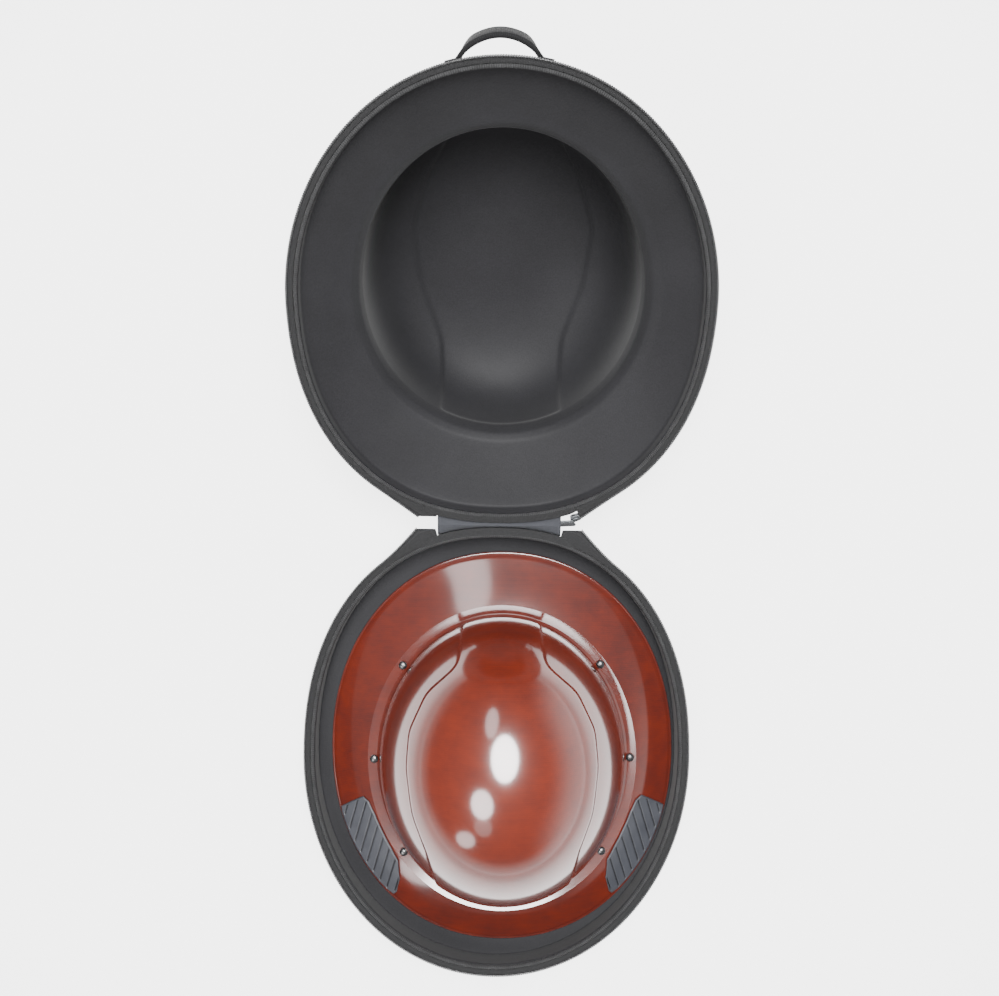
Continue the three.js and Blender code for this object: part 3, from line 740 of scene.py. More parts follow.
def grip_finish(tint):
    """Worn rubber, with painted shade that darkens its grooves."""
    finish = Finish("grip rubber", 0.5)
    place = finish.place()
    grit = finish.noise(place, 1200, 2.0)
    wear = finish.noise(place, 90, 4.0, 0.6)
    bands = finish.place("UV")
    wave = finish.wave(bands, GROOVE_PITCH)
    plain = finish.ranged(finish.split(bands)["Y"], 1, 0)
    # Painted shade: 0 in the middle of each groove, so the colour darkens there, and 1 between and
    # outside the grooves.
    free_of_groove_shade = finish.math("MAXIMUM", finish.ranged(wave, 0, 1, 0.01, 0.07), plain)
    share = finish.math("MULTIPLY", finish.ranged(wear, 0.55, 1), free_of_groove_shade)
    finish.colour_by(share, shade(tint, 0.12), shade(tint, 1.4))
    finish.roughness_by(wear, 0.42, 0.62)
    finish.bump(grit, 0.06 * MM, 0.5)
    return finish.material


def rivet_finish(tint):
    finish = Finish("rivet plastic", 0.25, {"Coat Weight": 0.2})
    dust = finish.noise(finish.place(), 500, 3.0)
    finish.colour_by(dust, shade(tint, 0.7), shade(tint, 1.6))
    finish.roughness_by(dust, 0.18, 0.36)
    return finish.material


def floor_finish(tint):
    """A pale floor that glows with painted light, brightest round the case and fading further out."""
    finish = Finish("pale floor", 0.9, {"Emission Strength": 3.6})
    place = finish.place()
    grain = finish.noise(place, 8, 2.0)
    split = finish.split(place)
    across = split["X"]
    along = finish.math("SUBTRACT", split["Y"], FLOOR_MIDDLE)
    squares = [finish.math("MULTIPLY", side, side) for side in (across, along)]
    fourths = [finish.math("MULTIPLY", square, square) for square in squares]
    reach = finish.math("POWER", finish.math("ADD", *fourths), 0.25)
    # Painted light: the floor's glow, full round the case and fading with distance.
    finish.link(finish.ranged(reach, 1.0, 0.32, *FLOOR_FADE), finish.shader.inputs["Emission Color"])
    finish.colour_by(grain, shade(tint, 0.995), tint)
    return finish.material


# The base and the lid


def base_shell(case, trim):
    """The base's tray: outer wall and underside, then the rim, the ledge and the pan."""
    outline = case_outline(case)
    angles = even_angles(outline, 320)
    inset = trim.shell_inset
    rim = rim_depth(trim)
    ledge = case.ledge_depth
    height = base_height(case)
    wall_foot = inset + BASE_WALL_SLOPE * FOAM_WALL * 2
    underside = case.ledge_inset + case.ledge_width + case.pan_slope - FOAM_WALL
    pan = case.ledge_inset + case.ledge_width + case.pan_slope

    def loop(at, depth):
        return level(outline_points(outline, angles, at), depth)

    profile = [
        loop(outline[0] * 0.8, height),
        loop(underside, height),
        loop(underside - case.pan_slope, ledge + FOAM_WALL),
        loop(case.ledge_inset, ledge + FOAM_WALL),
        loop(case.ledge_inset - FOAM_WALL, ledge),
        loop(wall_foot, rim + FOAM_WALL * 2),
        loop(inset, rim),
        loop(inset + trim.rim_wall, rim),
        loop(inset + trim.rim_wall + 0.3 * MM, rim + 1.5 * MM),
        loop(case.ledge_inset, ledge),
        loop(case.ledge_inset + case.ledge_width, ledge),
        loop(pan, ledge + case.pan_depth),
        loop(outline[0] * 0.8, ledge + case.pan_depth),
    ]
    rows = refined(filleted(profile, 1.2 * MM), 9 * MM)
    return gridded(in_base(case, rows), ends=True)


def lid_profile(case, trim, angles, wall):
    """The lid's inner side, or with a wall its outer side, from the rim to the dome's top."""
    outline = case_outline(case)
    mouth = mouth_outline(case)
    inset = trim.shell_inset
    rim = rim_depth(trim)
    fillet = case.mouth_fillet - wall
    band_end = case.mouth_depth - case.mouth_lip + wall
    outside = wall > 0
    foot = case.band_top + (BAND_WALL if outside else 0)
    at_foot = case.band_inset - (BAND_WALL if outside else 0)

    def loop(at, depth):
        return level(outline_points(outline, angles, at), depth)

    def mouth_loop(at, depth):
        return level(outline_points(mouth, angles, at), depth)

    if outside:
        start = [loop(inset, rim)]
    else:
        inner = inset + trim.rim_wall
        start = [loop(inner, rim), loop(inner + 0.3 * MM, rim + 1.2 * MM)]
    band = [
        *start,
        loop(at_foot, foot),
        mouth_loop(-wall - fillet, band_end),
        mouth_loop(-wall - fillet * 0.45, band_end + fillet * 0.2),
        mouth_loop(-wall - fillet * 0.12, band_end + fillet * 0.6),
        mouth_loop(-wall, band_end + fillet * 1.2),
    ]
    from_depth = band_end + fillet * 1.2
    to_depth = case.dome_depth + wall
    grown = mouth_outline(case, wall)
    dome = []
    for step in range(1, 52):
        angle = math.pi / 2 * step / 53
        share = math.cos(angle) ** (2 / DOME_SQUARENESS)
        depth = blended(from_depth, to_depth, math.sin(angle) ** (2 / DOME_SQUARENESS))
        dome.append(level(outline_points(grown, angles) * share, depth))
    rows = refined(filleted(band, 2.2 * MM), 7 * MM)
    dome = refined([rows[-1], *dome], 4 * MM)[1:]
    pressed = np.array(dome)
    mask = panel_mask(
        pressed,
        DOME_PANEL,
        case.mouth_half_width,
        case.mouth_hinge_reach,
        case.mouth_front_reach,
        3.5 * MM,
    )
    start_depth = case.mouth_depth + case.mouth_fillet + FOAM_WALL
    mask = mask * smoothed((pressed[..., 2] - start_depth) / (5 * MM))
    relief = case.dome_relief * (OUTER_RELIEF_SHARE if outside else 1)
    return rows, pressed + outward(pressed) * (mask * relief)[..., None]


def outward(rows):
    """Unit normals of a stack of loops round a dome, away from its inside."""
    down = np.gradient(rows, axis=0)
    around = (np.roll(rows, -1, axis=1) - np.roll(rows, 1, axis=1)) / 2
    normal = np.cross(around, down)
    normal /= np.maximum(np.linalg.norm(normal, axis=-1, keepdims=True), 1e-12)
    middle = rows.reshape(-1, 3).mean(axis=0)
    facing = np.sign(((rows - middle) * normal).sum(axis=-1, keepdims=True))
    return normal * facing


def lid_shell(case, trim):
    """The lid: its outer skin down over the dome, and its inner skin back up to the rim."""
    angles = even_angles(case_outline(case), 336)
    outer_band, outer_dome = lid_profile(case, trim, angles, FOAM_WALL)
    inner_band, inner_dome = lid_profile(case, trim, angles, 0.0)
    rows = [*outer_dome[::-1], *outer_band[::-1], *inner_band, *inner_dome]
    return gridded(in_lid(case, rows), ends=True)


def rim_ring(case, section, count):
    """Rows of points round the rim, one for each corner of a section of insets and depths."""
    outline = case_outline(case)
    angles = even_angles(outline, count)
    return np.array([level(outline_points(outline, angles, at), depth) for at, depth in section])


def rim_band(case, trim):
    """The binding's flat woven band on the foam's edge, higher beside the hinge."""
    top = coil_foot(trim) + SEAT_GAP
    foot = binding_foot(trim)
    start = trim.shell_inset
    end = trim.tape_reach + SEAT_GAP + trim.piping_width * 0.5
    section = [
        (start + 0.3 * MM, foot),
        (end, foot),
        (end, top + 0.1 * MM),
        (blended(start, end, 0.5), top),
        (start + 0.5 * MM, top),
        (start + 0.1 * MM, top + 0.3 * MM),
        (start, top + 0.6 * MM),
    ]
    band = rim_ring(case, section, 300)
    beside = smoothed((trim.zip_end - np.abs(band[..., 0])) / BAND_STEP) * (band[..., 1] > 0)
    lift = (top - trim.piping_top) * beside
    band[..., 2] -= np.where(band[..., 2] < foot - 0.1 * MM, lift, 0)
    return band


def rim_piping(case, trim):
    """The rounded piping at the binding's inner edge."""
    half = trim.piping_width / 2
    middle = trim.tape_reach + SEAT_GAP + half
    foot = binding_foot(trim)
    centre = blended(trim.piping_top, foot, 0.5)
    reach = (foot - trim.piping_top) / 2
    rounds = np.linspace(0, 2 * math.pi, 14, endpoint=False)
    section = [(middle + half * math.cos(at), centre - reach * math.sin(at)) for at in rounds]
    return rim_ring(case, section, 520)


def zip_angles(case, trim, count, ends, stand_off):
    """Angles along one zip between two ends, and how far it stands off the shell at each."""
    outline = case_outline(case)

    def angle_at(across):
        return math.acos((across / outline[0]) ** (HINGE_SQUARENESS / 2))

    end = angle_at(trim.zip_end)
    flare_start = angle_at(trim.zip_flare_start)
    first, last = (angle_at(across) for across in ends)
    angles = even_angles(outline, count, math.pi - first, 2 * math.pi + last, closed=False)
    from_end = np.minimum(angles - math.pi + end, 2 * math.pi + end - angles)
    share = np.clip(1 - from_end / (end - flare_start), 0, 1)
    return angles, stand_off * share * share


def zip_tape(case, trim, ends, stand_off):
    """The zip's tape, from the coil in to the piping, which fans out and runs on beside the hinge."""
    outline = case_outline(case)
    angles, flare = zip_angles(case, trim, 760, ends, stand_off)
    bottom = coil_foot(trim)
    top = bottom - trim.tape_thickness
    outer = trim.coil_inset + trim.coil_width * 0.55
    inner = trim.tape_reach
    section = [
        (0.0, 0.75),
        (0.0, 0.25),
        (0.06, 0.0),
        (0.35, 0.05),
        (0.65, 0.1),
        (0.95, 0.0),
        (1.0, 0.3),
        (1.0, 0.75),
        (0.95, 1.0),
        (0.06, 1.0),
    ]
    rows = []
    for share, down in section:
        inset = blended(outer, inner, share) - flare * (1 - share)
        waver = 0.12 * MM * np.sin(angles * 43) * np.sin(share * math.pi)
        rows.append(level(outline_points(outline, angles, inset), blended(top, bottom, down) + waver))
    rows = np.array(rows)
    across = np.array([trim.zip_end])
    rows[..., 1] = np.minimum(rows[..., 1], outline_y(outline, across, outer - stand_off)[0])
    return rows


def zip_coil(case, trim, stand_off):
    """The zip's nylon coil, one turn to a tooth, round a cord."""
    outline = case_outline(case)
    angles, flare = zip_angles(case, trim, 3000, (trim.zip_end, trim.zip_end), stand_off)
    middle = trim.coil_inset + trim.coil_width / 2
    line = outline_points(outline, angles, middle - flare)
    lengths = path_lengths(line, False)
    turns = int(lengths[-1] / trim.coil_pitch)
    per_turn = 9
    wanted = np.linspace(0, lengths[-1], turns * per_turn + 1)
    centre = np.column_stack([np.interp(wanted, lengths, line[:, axis]) for axis in (0, 1)])
    tangent = np.gradient(centre, axis=0)
    tangent /= np.linalg.norm(tangent, axis=1, keepdims=True)
    side = np.column_stack([tangent[:, 1], -tangent[:, 0]])
    wire = 0.42 * MM
    phase = np.linspace(0, turns * 2 * math.pi, len(wanted))
    reach = trim.coil_width / 2 - wire
    rise = trim.coil_height / 2 - wire
    depth = PARTING_GAP + trim.coil_height / 2
    x = centre[:, 0] + side[:, 0] * reach * np.cos(phase)
    y = centre[:, 1] + side[:, 1] * reach * np.cos(phase)
    helix = np.column_stack([x, y, depth + rise * np.sin(phase)])
    cord = np.column_stack([centre, np.full(len(centre), depth)])[::4]
    return tube(helix, wire, 4), tube(cord, 0.75 * MM, 6)


def tube(path, radius, sides):
    """Rows of points round a path, each row one line along it."""
    tangent = np.gradient(path, axis=0)
    tangent /= np.linalg.norm(tangent, axis=1, keepdims=True)
    up = np.array([0.0, 0.0, 1.0])
    side = np.cross(tangent, up)
    side /= np.maximum(np.linalg.norm(side, axis=1, keepdims=True), 1e-9)
    over = np.cross(side, tangent)
    rows = []
    for step in range(sides):
        angle = 2 * math.pi * step / sides
        rows.append(path + radius * (math.cos(angle) * side + math.sin(angle) * over))
    return np.array(rows)


def capped(rows):
    """A tube's rows as faces, with both ends closed."""
    vertices, faces, places = gridded(rows, wrap_rows=True, wrap_columns=False)
    sides, columns = rows.shape[:2]
    faces.append([at * columns for at in range(sides)])
    faces.append([at * columns + columns - 1 for at in range(sides)][::-1])
    places = np.vstack([places, np.zeros((2 * sides, 2))])
    return vertices, faces, places


def outline_y(outline, across, inset):
    """Where the hinge side or the front of the outline lies, at places across it."""
    side, hinge, front, hinge_square, front_square = outline
    angles = np.arccos(signed_power(across / side, hinge_square / 2))
    return outline_points(outline, angles, inset)[:, 1]


def hinge_strip(case, trim):
    """The hinge cloth: from the base's wall up over the hinge line and down the lid's wall."""
    outline = case_outline(case)
    across = np.linspace(-trim.hinge_across, trim.hinge_across, 61)
    hinge_y = case.hinge_reach + case.hinge_gap
    inset = trim.shell_inset - SEAT_GAP
    rim = rim_depth(trim)
    half = trim.hinge_cloth / 2

    def leaf(slope):
        wall_top = outline_y(outline, across, inset) + half
        wall_foot = outline_y(outline, across, inset + slope * (trim.hinge_leaf_depth - rim)) + half
        crest = np.full(len(across), hinge_y)
        return [
            np.column_stack([across, wall_foot, np.full(len(across), trim.hinge_leaf_depth)]),
            np.column_stack([across, wall_top, np.full(len(across), rim)]),
            np.column_stack([across, crest - half, np.full(len(across), PARTING_GAP + 1.1 * half)]),
        ]

    base_leaf = [in_base(case, row) for row in leaf(BASE_WALL_SLOPE)]
    lid_leaf = [in_lid(case, row) for row in leaf(lid_wall(case, trim))]
    rows = filleted([*base_leaf, *lid_leaf[::-1]], 2.5 * MM, 5)
    middle = np.array(refined(rows, 1.6 * MM))
    down = np.gradient(middle, axis=0)
    normal = np.stack([np.zeros_like(down[..., 0]), -down[..., 2], down[..., 1]], axis=-1)
    normal /= np.linalg.norm(normal, axis=-1, keepdims=True)
    upper = middle + normal * half * 0.98
    lower = middle - normal * half * 0.98
    left_edge = middle[:, :1] - [0.5 * MM, 0, 0]
    right_edge = middle[:, -1:] + [0.5 * MM, 0, 0]
    loops = np.concatenate([left_edge, upper, right_edge, lower[:, ::-1]], axis=1)
    return gridded(loops, wrap_columns=True, ends=True)


# The handle and the slider


def handle_loop(case, trim):
    """The webbing loop: rows along it, each round its section, with depths."""
    outline = case_outline(case)
    slope = lid_wall(case, trim)
    start = trim.handle_top
    inset = trim.shell_inset - SEAT_GAP + slope * (start - rim_depth(trim))
    reach = trim.handle_across + trim.handle_foot
    offset = np.linspace(reach, -reach, 121)
    across = offset - trim.handle_offset
    share = np.minimum(1, np.abs(offset) / trim.handle_across)
    bow = 1 - share * share
    front = (outline[0], outline[2], outline[1], outline[4], outline[3])
    wall = -outline_y(front, across, inset)
    inner_y = wall - trim.handle_rise * bow
    lean = blended(slope, -0.1, smoothed(np.minimum(1, 1.4 * bow))) * trim.handle_width
    thickness = trim.handle_thickness * blended(0.5, 1.0, np.minimum(1, 2 * bow))
    thickness = np.convolve(np.pad(thickness, 3, mode="edge"), np.ones(7) / 7, mode="valid")
    run = np.stack([np.gradient(across), np.gradient(inner_y)], axis=1)
    run /= np.linalg.norm(run, axis=1, keepdims=True)
    outward_x = -run[:, 1]
    outward_y = run[:, 0]
    rows = []
    for corner in np.linspace(0, 2 * math.pi, 24, endpoint=False):
        deep = 0.5 + 0.5 * signed_power(math.cos(corner), 0.35)
        out = 0.5 + 0.5 * signed_power(math.sin(corner), 0.55)
        out = out * thickness
        x = across + outward_x * out
        y = inner_y + outward_y * out + lean * deep
        rows.append(np.column_stack([x, y, np.full(len(x), start + trim.handle_width * deep)]))
    return np.array(rows)


def rounded_slab(corners, bottom, top, bevel, name):
    """A plate over an outline of corners, with its edges bevelled."""
    solid = bmesh.new()
    low = [solid.verts.new((x, y, bottom)) for x, y in corners]
    high = [solid.verts.new((x, y, top)) for x, y in corners]
    solid.faces.new(low[::-1])
    solid.faces.new(high)
    for at in range(len(corners)):
        after = (at + 1) % len(corners)
        solid.faces.new([low[at], low[after], high[after], high[at]])
    edges = list(solid.edges)
    bmesh.ops.bevel(solid, geom=edges, offset=bevel, segments=3, profile=0.5, affect="EDGES")
    mesh = bpy.data.meshes.new(name)
    solid.to_mesh(mesh)
    solid.free()
    vertices = [tuple(vertex.co) for vertex in mesh.vertices]
    faces = [list(face.vertices) for face in mesh.polygons]
    bpy.data.meshes.remove(mesh)
    return np.array(vertices), faces


def turned(points, angle, shift):
    cosine = math.cos(angle)
    sine = math.sin(angle)
    x = points[:, 0] * cosine - points[:, 1] * sine + shift[0]
    y = points[:, 0] * sine + points[:, 1] * cosine + shift[1]
    return np.column_stack([x, y, points[:, 2] + shift[2]])


def zip_end_place(case, trim):
    """Where the zip ends beside the hinge on the right, and which way it points on."""
    outline = case_outline(case)
    angles, flare = zip_angles(case, trim, 700, (trim.zip_end, trim.zip_end), trim.zip_flare)
    middle = trim.coil_inset + trim.coil_width / 2
    end = outline_points(outline, angles[-1:], middle - flare[-1])[0]
    beyond = outline_points(outline, angles[-1:] + 0.002, middle - flare[-1])[0]
    onward = beyond - end
    return end, onward / np.linalg.norm(onward)


def slider_parts(trim):
    """The slider: two plates joined by a neck, and a bridge over them for the pull."""
    half_length = trim.slider_length / 2
    half_width = trim.slider_width / 2
    height = trim.slider_height
    plate = [
        (-half_length, -half_width * 0.82),
        (half_length * 0.4, -half_width),
        (half_length * 0.85, -half_width * 0.75),
        (half_length, 0),
        (half_length * 0.85, half_width * 0.75),
        (half_length * 0.4, half_width),
        (-half_length, half_width * 0.82),
    ]
    neck = [(x * 0.45, y * 0.4) for x, y in plate]
    bridge = [(x * 0.62, y * 0.3) for x, y in plate]
    return [
        rounded_slab(plate, 0.8 * MM, 1.9 * MM, 0.25 * MM, "plate"),
        rounded_slab(plate, height - 1.1 * MM, height, 0.25 * MM, "plate"),
        rounded_slab(neck, 1.7 * MM, height - 0.9 * MM, 0.2 * MM, "neck"),
        rounded_slab(bridge, 0.0, 1.0 * MM, 0.3 * MM, "bridge"),
    ]


def pull_parts(trim):
    """The pull: a thin tab with a slanted end and a few raised lines."""
    half_length = trim.pull_length / 2
    half_width = trim.pull_width / 2
    clip = 2.4 * MM
    thickness = trim.pull_thickness
    tab = [
        (-half_length, -half_width),
        (half_length - clip, -half_width),
        (half_length, half_width - clip / 2),
        (half_length - clip / 2, half_width),
        (-half_length, half_width),
    ]
    parts = [rounded_slab(tab, 0.3 * MM, thickness, 0.3 * MM, "tab")]
    for line in range(5):
        x = -half_length * 0.7 + line * 1.7 * MM
        bar = [
            (x, -half_width * 0.72),
            (x + 0.7 * MM, -half_width * 0.72),
            (x + 0.7 * MM, half_width * 0.72),
            (x, half_width * 0.72),
        ]
        parts.append(rounded_slab(bar, 0.0, 0.6 * MM, 0.18 * MM, "line"))
    return parts


# The hat


def gutter_points(hat, angles, outwards):
    x = (hat.gutter_half_width + outwards) * np.cos(angles)
    y = (hat.gutter_half_length + outwards) * np.sin(angles) - hat.crown_setback
    return np.stack([x, y], axis=-1)


def brim_points(hat, angles, share):
    """Points of the hat's top side over the brim: 0 at the gutter and 1 at the brim's edge."""
    edge = (
        hat.brim_half_width,
        hat.brim_half_length,
        hat.brim_half_length,
        BRIM_SQUARENESS,
        BRIM_SQUARENESS,
    )
    share = np.asarray(share, dtype=float)
    start = gutter_points(hat, angles, hat.gutter_half_span)
    end = outline_points(edge, angles)
    spread = share if share.ndim == 0 else share[..., None]
    flat = blended(start, end, spread)
    rise = 1 - (smoothed(share) * 0.1 + share * 0.9)
    height = hat.brim_thickness + hat.brim_rise * rise
    return np.concatenate([flat, np.broadcast_to(height, flat.shape[:-1])[..., None]], axis=-1)


def crown_rows(hat, angles, wall, steps):
    """Loops of the crown from its foot to its top, or with a wall those of its inside."""
    half_width = hat.gutter_half_width - hat.gutter_half_span - wall
    half_length = hat.gutter_half_length - hat.gutter_half_span - wall
    foot = hat.brim_thickness + hat.brim_rise - (hat.brim_thickness if wall else 0)
    top = hat.brim_thickness + hat.brim_rise + hat.crown_rise - wall
    rows = []
    for step in range(steps):
        angle = math.pi / 2 * (step + 0.6) / (steps + 0.1)
        share = math.cos(angle)
        depth = blended(foot, top, math.sin(angle) ** CROWN_TAPER)
        x = half_width * share * np.cos(angles)
        y = half_length * share * np.sin(angles) - hat.crown_setback
        rows.append(np.column_stack([x, y, np.full(len(x), depth)]))
    return rows


def hat_shell(hat, case):
    """The hat: its inside, its brim's edge, brim, gutter and crown with the raised panel."""
    angles = np.linspace(0, 2 * math.pi, 420, endpoint=False)
    thickness = hat.brim_thickness
    gutter_z = thickness + hat.brim_rise
    brim = []
    for share in np.linspace(1, 0, 22):
        brim.append(brim_points(hat, angles, share))
    under = [row - [0, 0, thickness] for row in brim]
    rounds = []
    half = thickness / 2
    edge_in = brim[0]
    inwards = brim[2] - brim[0]
    inwards[:, 2] = 0
    inwards /= np.linalg.norm(inwards, axis=1, keepdims=True)
    for at in np.linspace(-math.pi / 2, math.pi / 2, 9):
        middle = edge_in + inwards * half - [0, 0, half]
        rounds.append(middle - inwards * half * math.cos(at) + [0, 0, half * math.sin(at)])
    gutter = []
    for at in np.linspace(1, -1, 11)[1:-1]:
        sag = hat.gutter_drop * min((1 - at) / (1 - GUTTER_LOW), (1 + at) / (1 + GUTTER_LOW))
        points = gutter_points(hat, angles, hat.gutter_half_span * at)
        gutter.append(level(points, gutter_z - sag))
    crown = crown_rows(hat, angles, 0.0, 70)
    crown = np.array(refined([gutter[-1], *crown], 1.6 * MM)[1:])
    shifted = crown + [0, hat.crown_setback, 0]
    half_width = hat.gutter_half_width - hat.gutter_half_span
    half_length = hat.gutter_half_length - hat.gutter_half_span
    mask = panel_mask(shifted, CROWN_PANEL, half_width, half_length, half_length, 3.2 * MM)
    start = gutter_z + hat.gutter_half_span
    mask = mask * smoothed((crown[..., 2] - start) / (4 * MM))
    crown = crown + outward(crown) * (mask * hat.panel_relief)[..., None]
    inner_crown = crown_rows(hat, angles, hat.wall, 16)
    inner_gutter = level(gutter_points(hat, angles, 0), gutter_z - thickness)
    rows = [
        *inner_crown[::-1],
        inner_gutter,
        *under[::-4],
        *rounds,
        *brim[2:],
        *gutter,
        *crown,
    ]
    return gridded(in_hat(hat, case, rows), ends=True)


def grip_pad(hat, case, side):
    """One rubber grip over the brim, with slanted grooves and soft edges."""
    along = np.linspace(0, 1, 150)
    across = np.linspace(0, 1, 70)
    rows = np.array(GRIP_ROWS)
    place = np.linspace(0, 1, len(rows))
    inner, outer, inner_turn, outer_turn = (np.interp(along, place, row)[:, None] for row in rows.T)
    turn = blended(inner_turn, outer_turn, across[None, :])
    angles = np.radians(-90 + side * turn)
    share = blended(inner, outer, across[None, :])
    under = brim_points(hat, angles, share)
    under[..., 2] += SEAT_GAP
    edge_along = np.minimum(along, 1 - along)[:, None] / 0.03
    edge_across = np.minimum(across, 1 - across)[None, :] / 0.05
    edge = np.minimum(np.minimum(edge_along, edge_across), 1)
    edge = np.sqrt(np.clip(1 - (1 - edge) ** 2, 0, 1))
    lean = under[..., 0] * side * math.cos(GROOVE_TURN) + under[..., 1] * math.sin(GROOVE_TURN)
    lean = lean / GROOVE_PITCH
    groove = np.abs(lean - np.round(lean)) * GROOVE_PITCH / (0.75 * MM)
    inside = smoothed((np.minimum(across, 1 - across)[None, :] - 0.06) / 0.03)
    inside = inside * smoothed((np.minimum(along, 1 - along)[:, None] - 0.03) / 0.02)
    cut = (1 - smoothed(groove)) * inside
    height = hat.grip_thickness * (0.35 + 0.65 * edge) * (1 - 0.55 * cut)
    upper = under.copy()
    upper[..., 2] += height
    upper = in_hat(hat, case, upper)
    under = in_hat(hat, case, under)
    loops = np.concatenate([upper, under[:, ::-1]], axis=1)
    vertices, faces, _ = gridded(loops, wrap_columns=True, ends=True)
    leans = np.concatenate([lean, lean[:, ::-1]], axis=1).ravel() * GROOVE_PITCH
    grooved = np.concatenate([inside, np.zeros_like(inside)], axis=1).ravel()
    corners = np.concatenate(faces[: -2 * loops.shape[1]])
    ends = np.zeros((6 * loops.shape[1], 2))
    places = np.vstack([np.column_stack([leans[corners], grooved[corners]]), ends])
    return vertices, faces, places


def rivet_body(hat, case, angle):
    """A rivet: a shank through the wall, a rim and a domed head."""
    drop = SEAT_GAP + hat.gutter_drop
    radius = hat.rivet_radius
    height = hat.rivet_height
    profile = [
        (0.02 * MM, -hat.wall - 1 * MM),
        (1.8 * MM, -hat.wall - 1 * MM),
        (1.8 * MM, SEAT_GAP + hat.gutter_drop / 2),
        (radius * 0.96, drop - 0.1 * MM),
        (radius, drop + 0.15 * MM),
        (radius * 0.97, drop + 0.45 * MM),
        (radius * 0.8, drop + height * 0.62),
        (radius * 0.5, drop + height * 0.9),
        (radius * 0.2, drop + height),
        (0.02 * MM, drop + height),
    ]
    place = gutter_points(hat, np.array([math.radians(angle)]), 0)[0]
    foot = hat.brim_thickness + hat.brim_rise - hat.gutter_drop
    turns = np.linspace(0, 2 * math.pi, 28, endpoint=False)
    rows = []
    for reach, rise in profile:
        x = place[0] + reach * np.cos(turns)
        y = place[1] + reach * np.sin(turns)
        rows.append(np.column_stack([x, y, np.full(len(turns), foot + rise)]))
    return gridded(in_hat(hat, case, rows), ends=True)


# Operators, one for each piece or group of like pieces


def sizes_of(context, *groups):
    """The named groups of sizes and colours."""
    return [getattr(context.scene, f"hat_case_{group}") for group in groups]


class HATCASE_OT_base_shell(bpy.types.Operator):
    """Makes the base's moulded tray"""

    bl_idname = "hat_case.base_shell"
    bl_label = "Base Shell"
    bl_options = {"REGISTER", "UNDO"}

    def execute(self, context):
        case, trim, colours = sizes_of(context, "case", "trim", "colours")
        piece = make_mesh("base_tray", *base_shell(case, trim), sharp=60)
        cloth = foam_finish("base foam cloth", colours.foam, 0.75, 0.12)
        dress(piece, cloth, "base", ["base_shell"])
        return {"FINISHED"}


class HATCASE_OT_lid_shell(bpy.types.Operator):
    """Makes the lid with its sloped band and its dome"""

    bl_idname = "hat_case.lid_shell"
    bl_label = "Lid Shell"
    bl_options = {"REGISTER", "UNDO"}

    def execute(self, context):
        case, trim, colours = sizes_of(context, "case", "trim", "colours")
        piece = make_mesh("lid_dome", *lid_shell(case, trim), sharp=60)
        cloth = foam_finish("lid foam cloth", colours.foam, 0.58, 0.1)
        dress(piece, cloth, "lid", ["lid_shell"])
        return {"FINISHED"}


class HATCASE_OT_bindings(bpy.types.Operator):
    """Makes the woven band and the ribbed piping on both rims"""

    bl_idname = "hat_case.bindings"
    bl_label = "Bindings"
    bl_options = {"REGISTER", "UNDO"}

    def execute(self, context):
        case, trim, colours = sizes_of(context, "case", "trim", "colours")
        woven = woven_finish("binding band", colours.tape, 1.1 * MM)
        ribbed = piping_finish(colours.binding)
        band = rim_band(case, trim)
        piping = rim_piping(case, trim)
        for body, place in (("base", in_base), ("lid", in_lid)):
            flat = make_mesh(f"{body}_rim_band", *gridded(place(case, band), wrap_rows=True), sharp=50)
            dress(flat, woven, body, [f"{body}_binding"])
            cord = make_mesh(f"{body}_rim_piping", *gridded(place(case, piping), wrap_rows=True))
            dress(cord, ribbed, body)
        return {"FINISHED"}


class HATCASE_OT_zips(bpy.types.Operator):
    """Makes the zip's tape and coil on both rims"""

    bl_idname = "hat_case.zips"
    bl_label = "Zips"
    bl_options = {"REGISTER", "UNDO"}

    def execute(self, context):
        case, trim, colours = sizes_of(context, "case", "trim", "colours")
        tape_finish = woven_finish("zip tape", colours.tape, 1.1 * MM)
        nylon = coil_finish(colours.coil)
        tape_end = trim.hinge_across + 1 * MM
        base_zip = ("base", in_base, tape_end, trim.zip_flare + BASE_ZIP_FLARE)
        lid_zip = ("lid", in_lid, trim.zip_end, trim.zip_flare)
        for body, place, right_end, stand_off in (base_zip, lid_zip):
            helix, cord = zip_coil(case, trim, stand_off)
            tape = zip_tape(case, trim, (tape_end, right_end), stand_off)
            strip = make_mesh(f"{body}_zip_tape", *capped(place(case, tape)))
            dress(strip, tape_finish, body, [f"{body}_zip"])
            parts = [capped(place(case, helix)), capped(place(case, cord))]
            coil = make_mesh(f"{body}_zip_coil", *joined(parts))
            dress(coil, nylon, body)
        return {"FINISHED"}


class HATCASE_OT_hinge_cloth(bpy.types.Operator):
    """Makes the cloth strip that joins the two halves"""

    bl_idname = "hat_case.hinge_cloth"
    bl_label = "Hinge Cloth"
    bl_options = {"REGISTER", "UNDO"}

    def execute(self, context):
        case, trim, colours = sizes_of(context, "case", "trim", "colours")
        piece = make_mesh("hinge_cloth", *hinge_strip(case, trim), sharp=70)
        finish = woven_finish("hinge cloth", colours.hinge, 0.9 * MM, 0.14, 0.7)
        dress(piece, finish, nodes=["hinge_leaf_base", "hinge_leaf_lid"])
        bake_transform(piece)
        return {"FINISHED"}


class HATCASE_OT_handle(bpy.types.Operator):
    """Makes the webbing handle on the lid"""

    bl_idname = "hat_case.handle"
    bl_label = "Handle"
    bl_options = {"REGISTER", "UNDO"}

    def execute(self, context):
        case, trim, colours = sizes_of(context, "case", "trim", "colours")
        rows = in_lid(case, handle_loop(case, trim))
        piece = make_mesh("webbing_handle", *capped(rows), sharp=70)
        finish = woven_finish("handle webbing", colours.webbing, 1.5 * MM)
        dress(piece, finish, "lid", ["handle"])
        return {"FINISHED"}


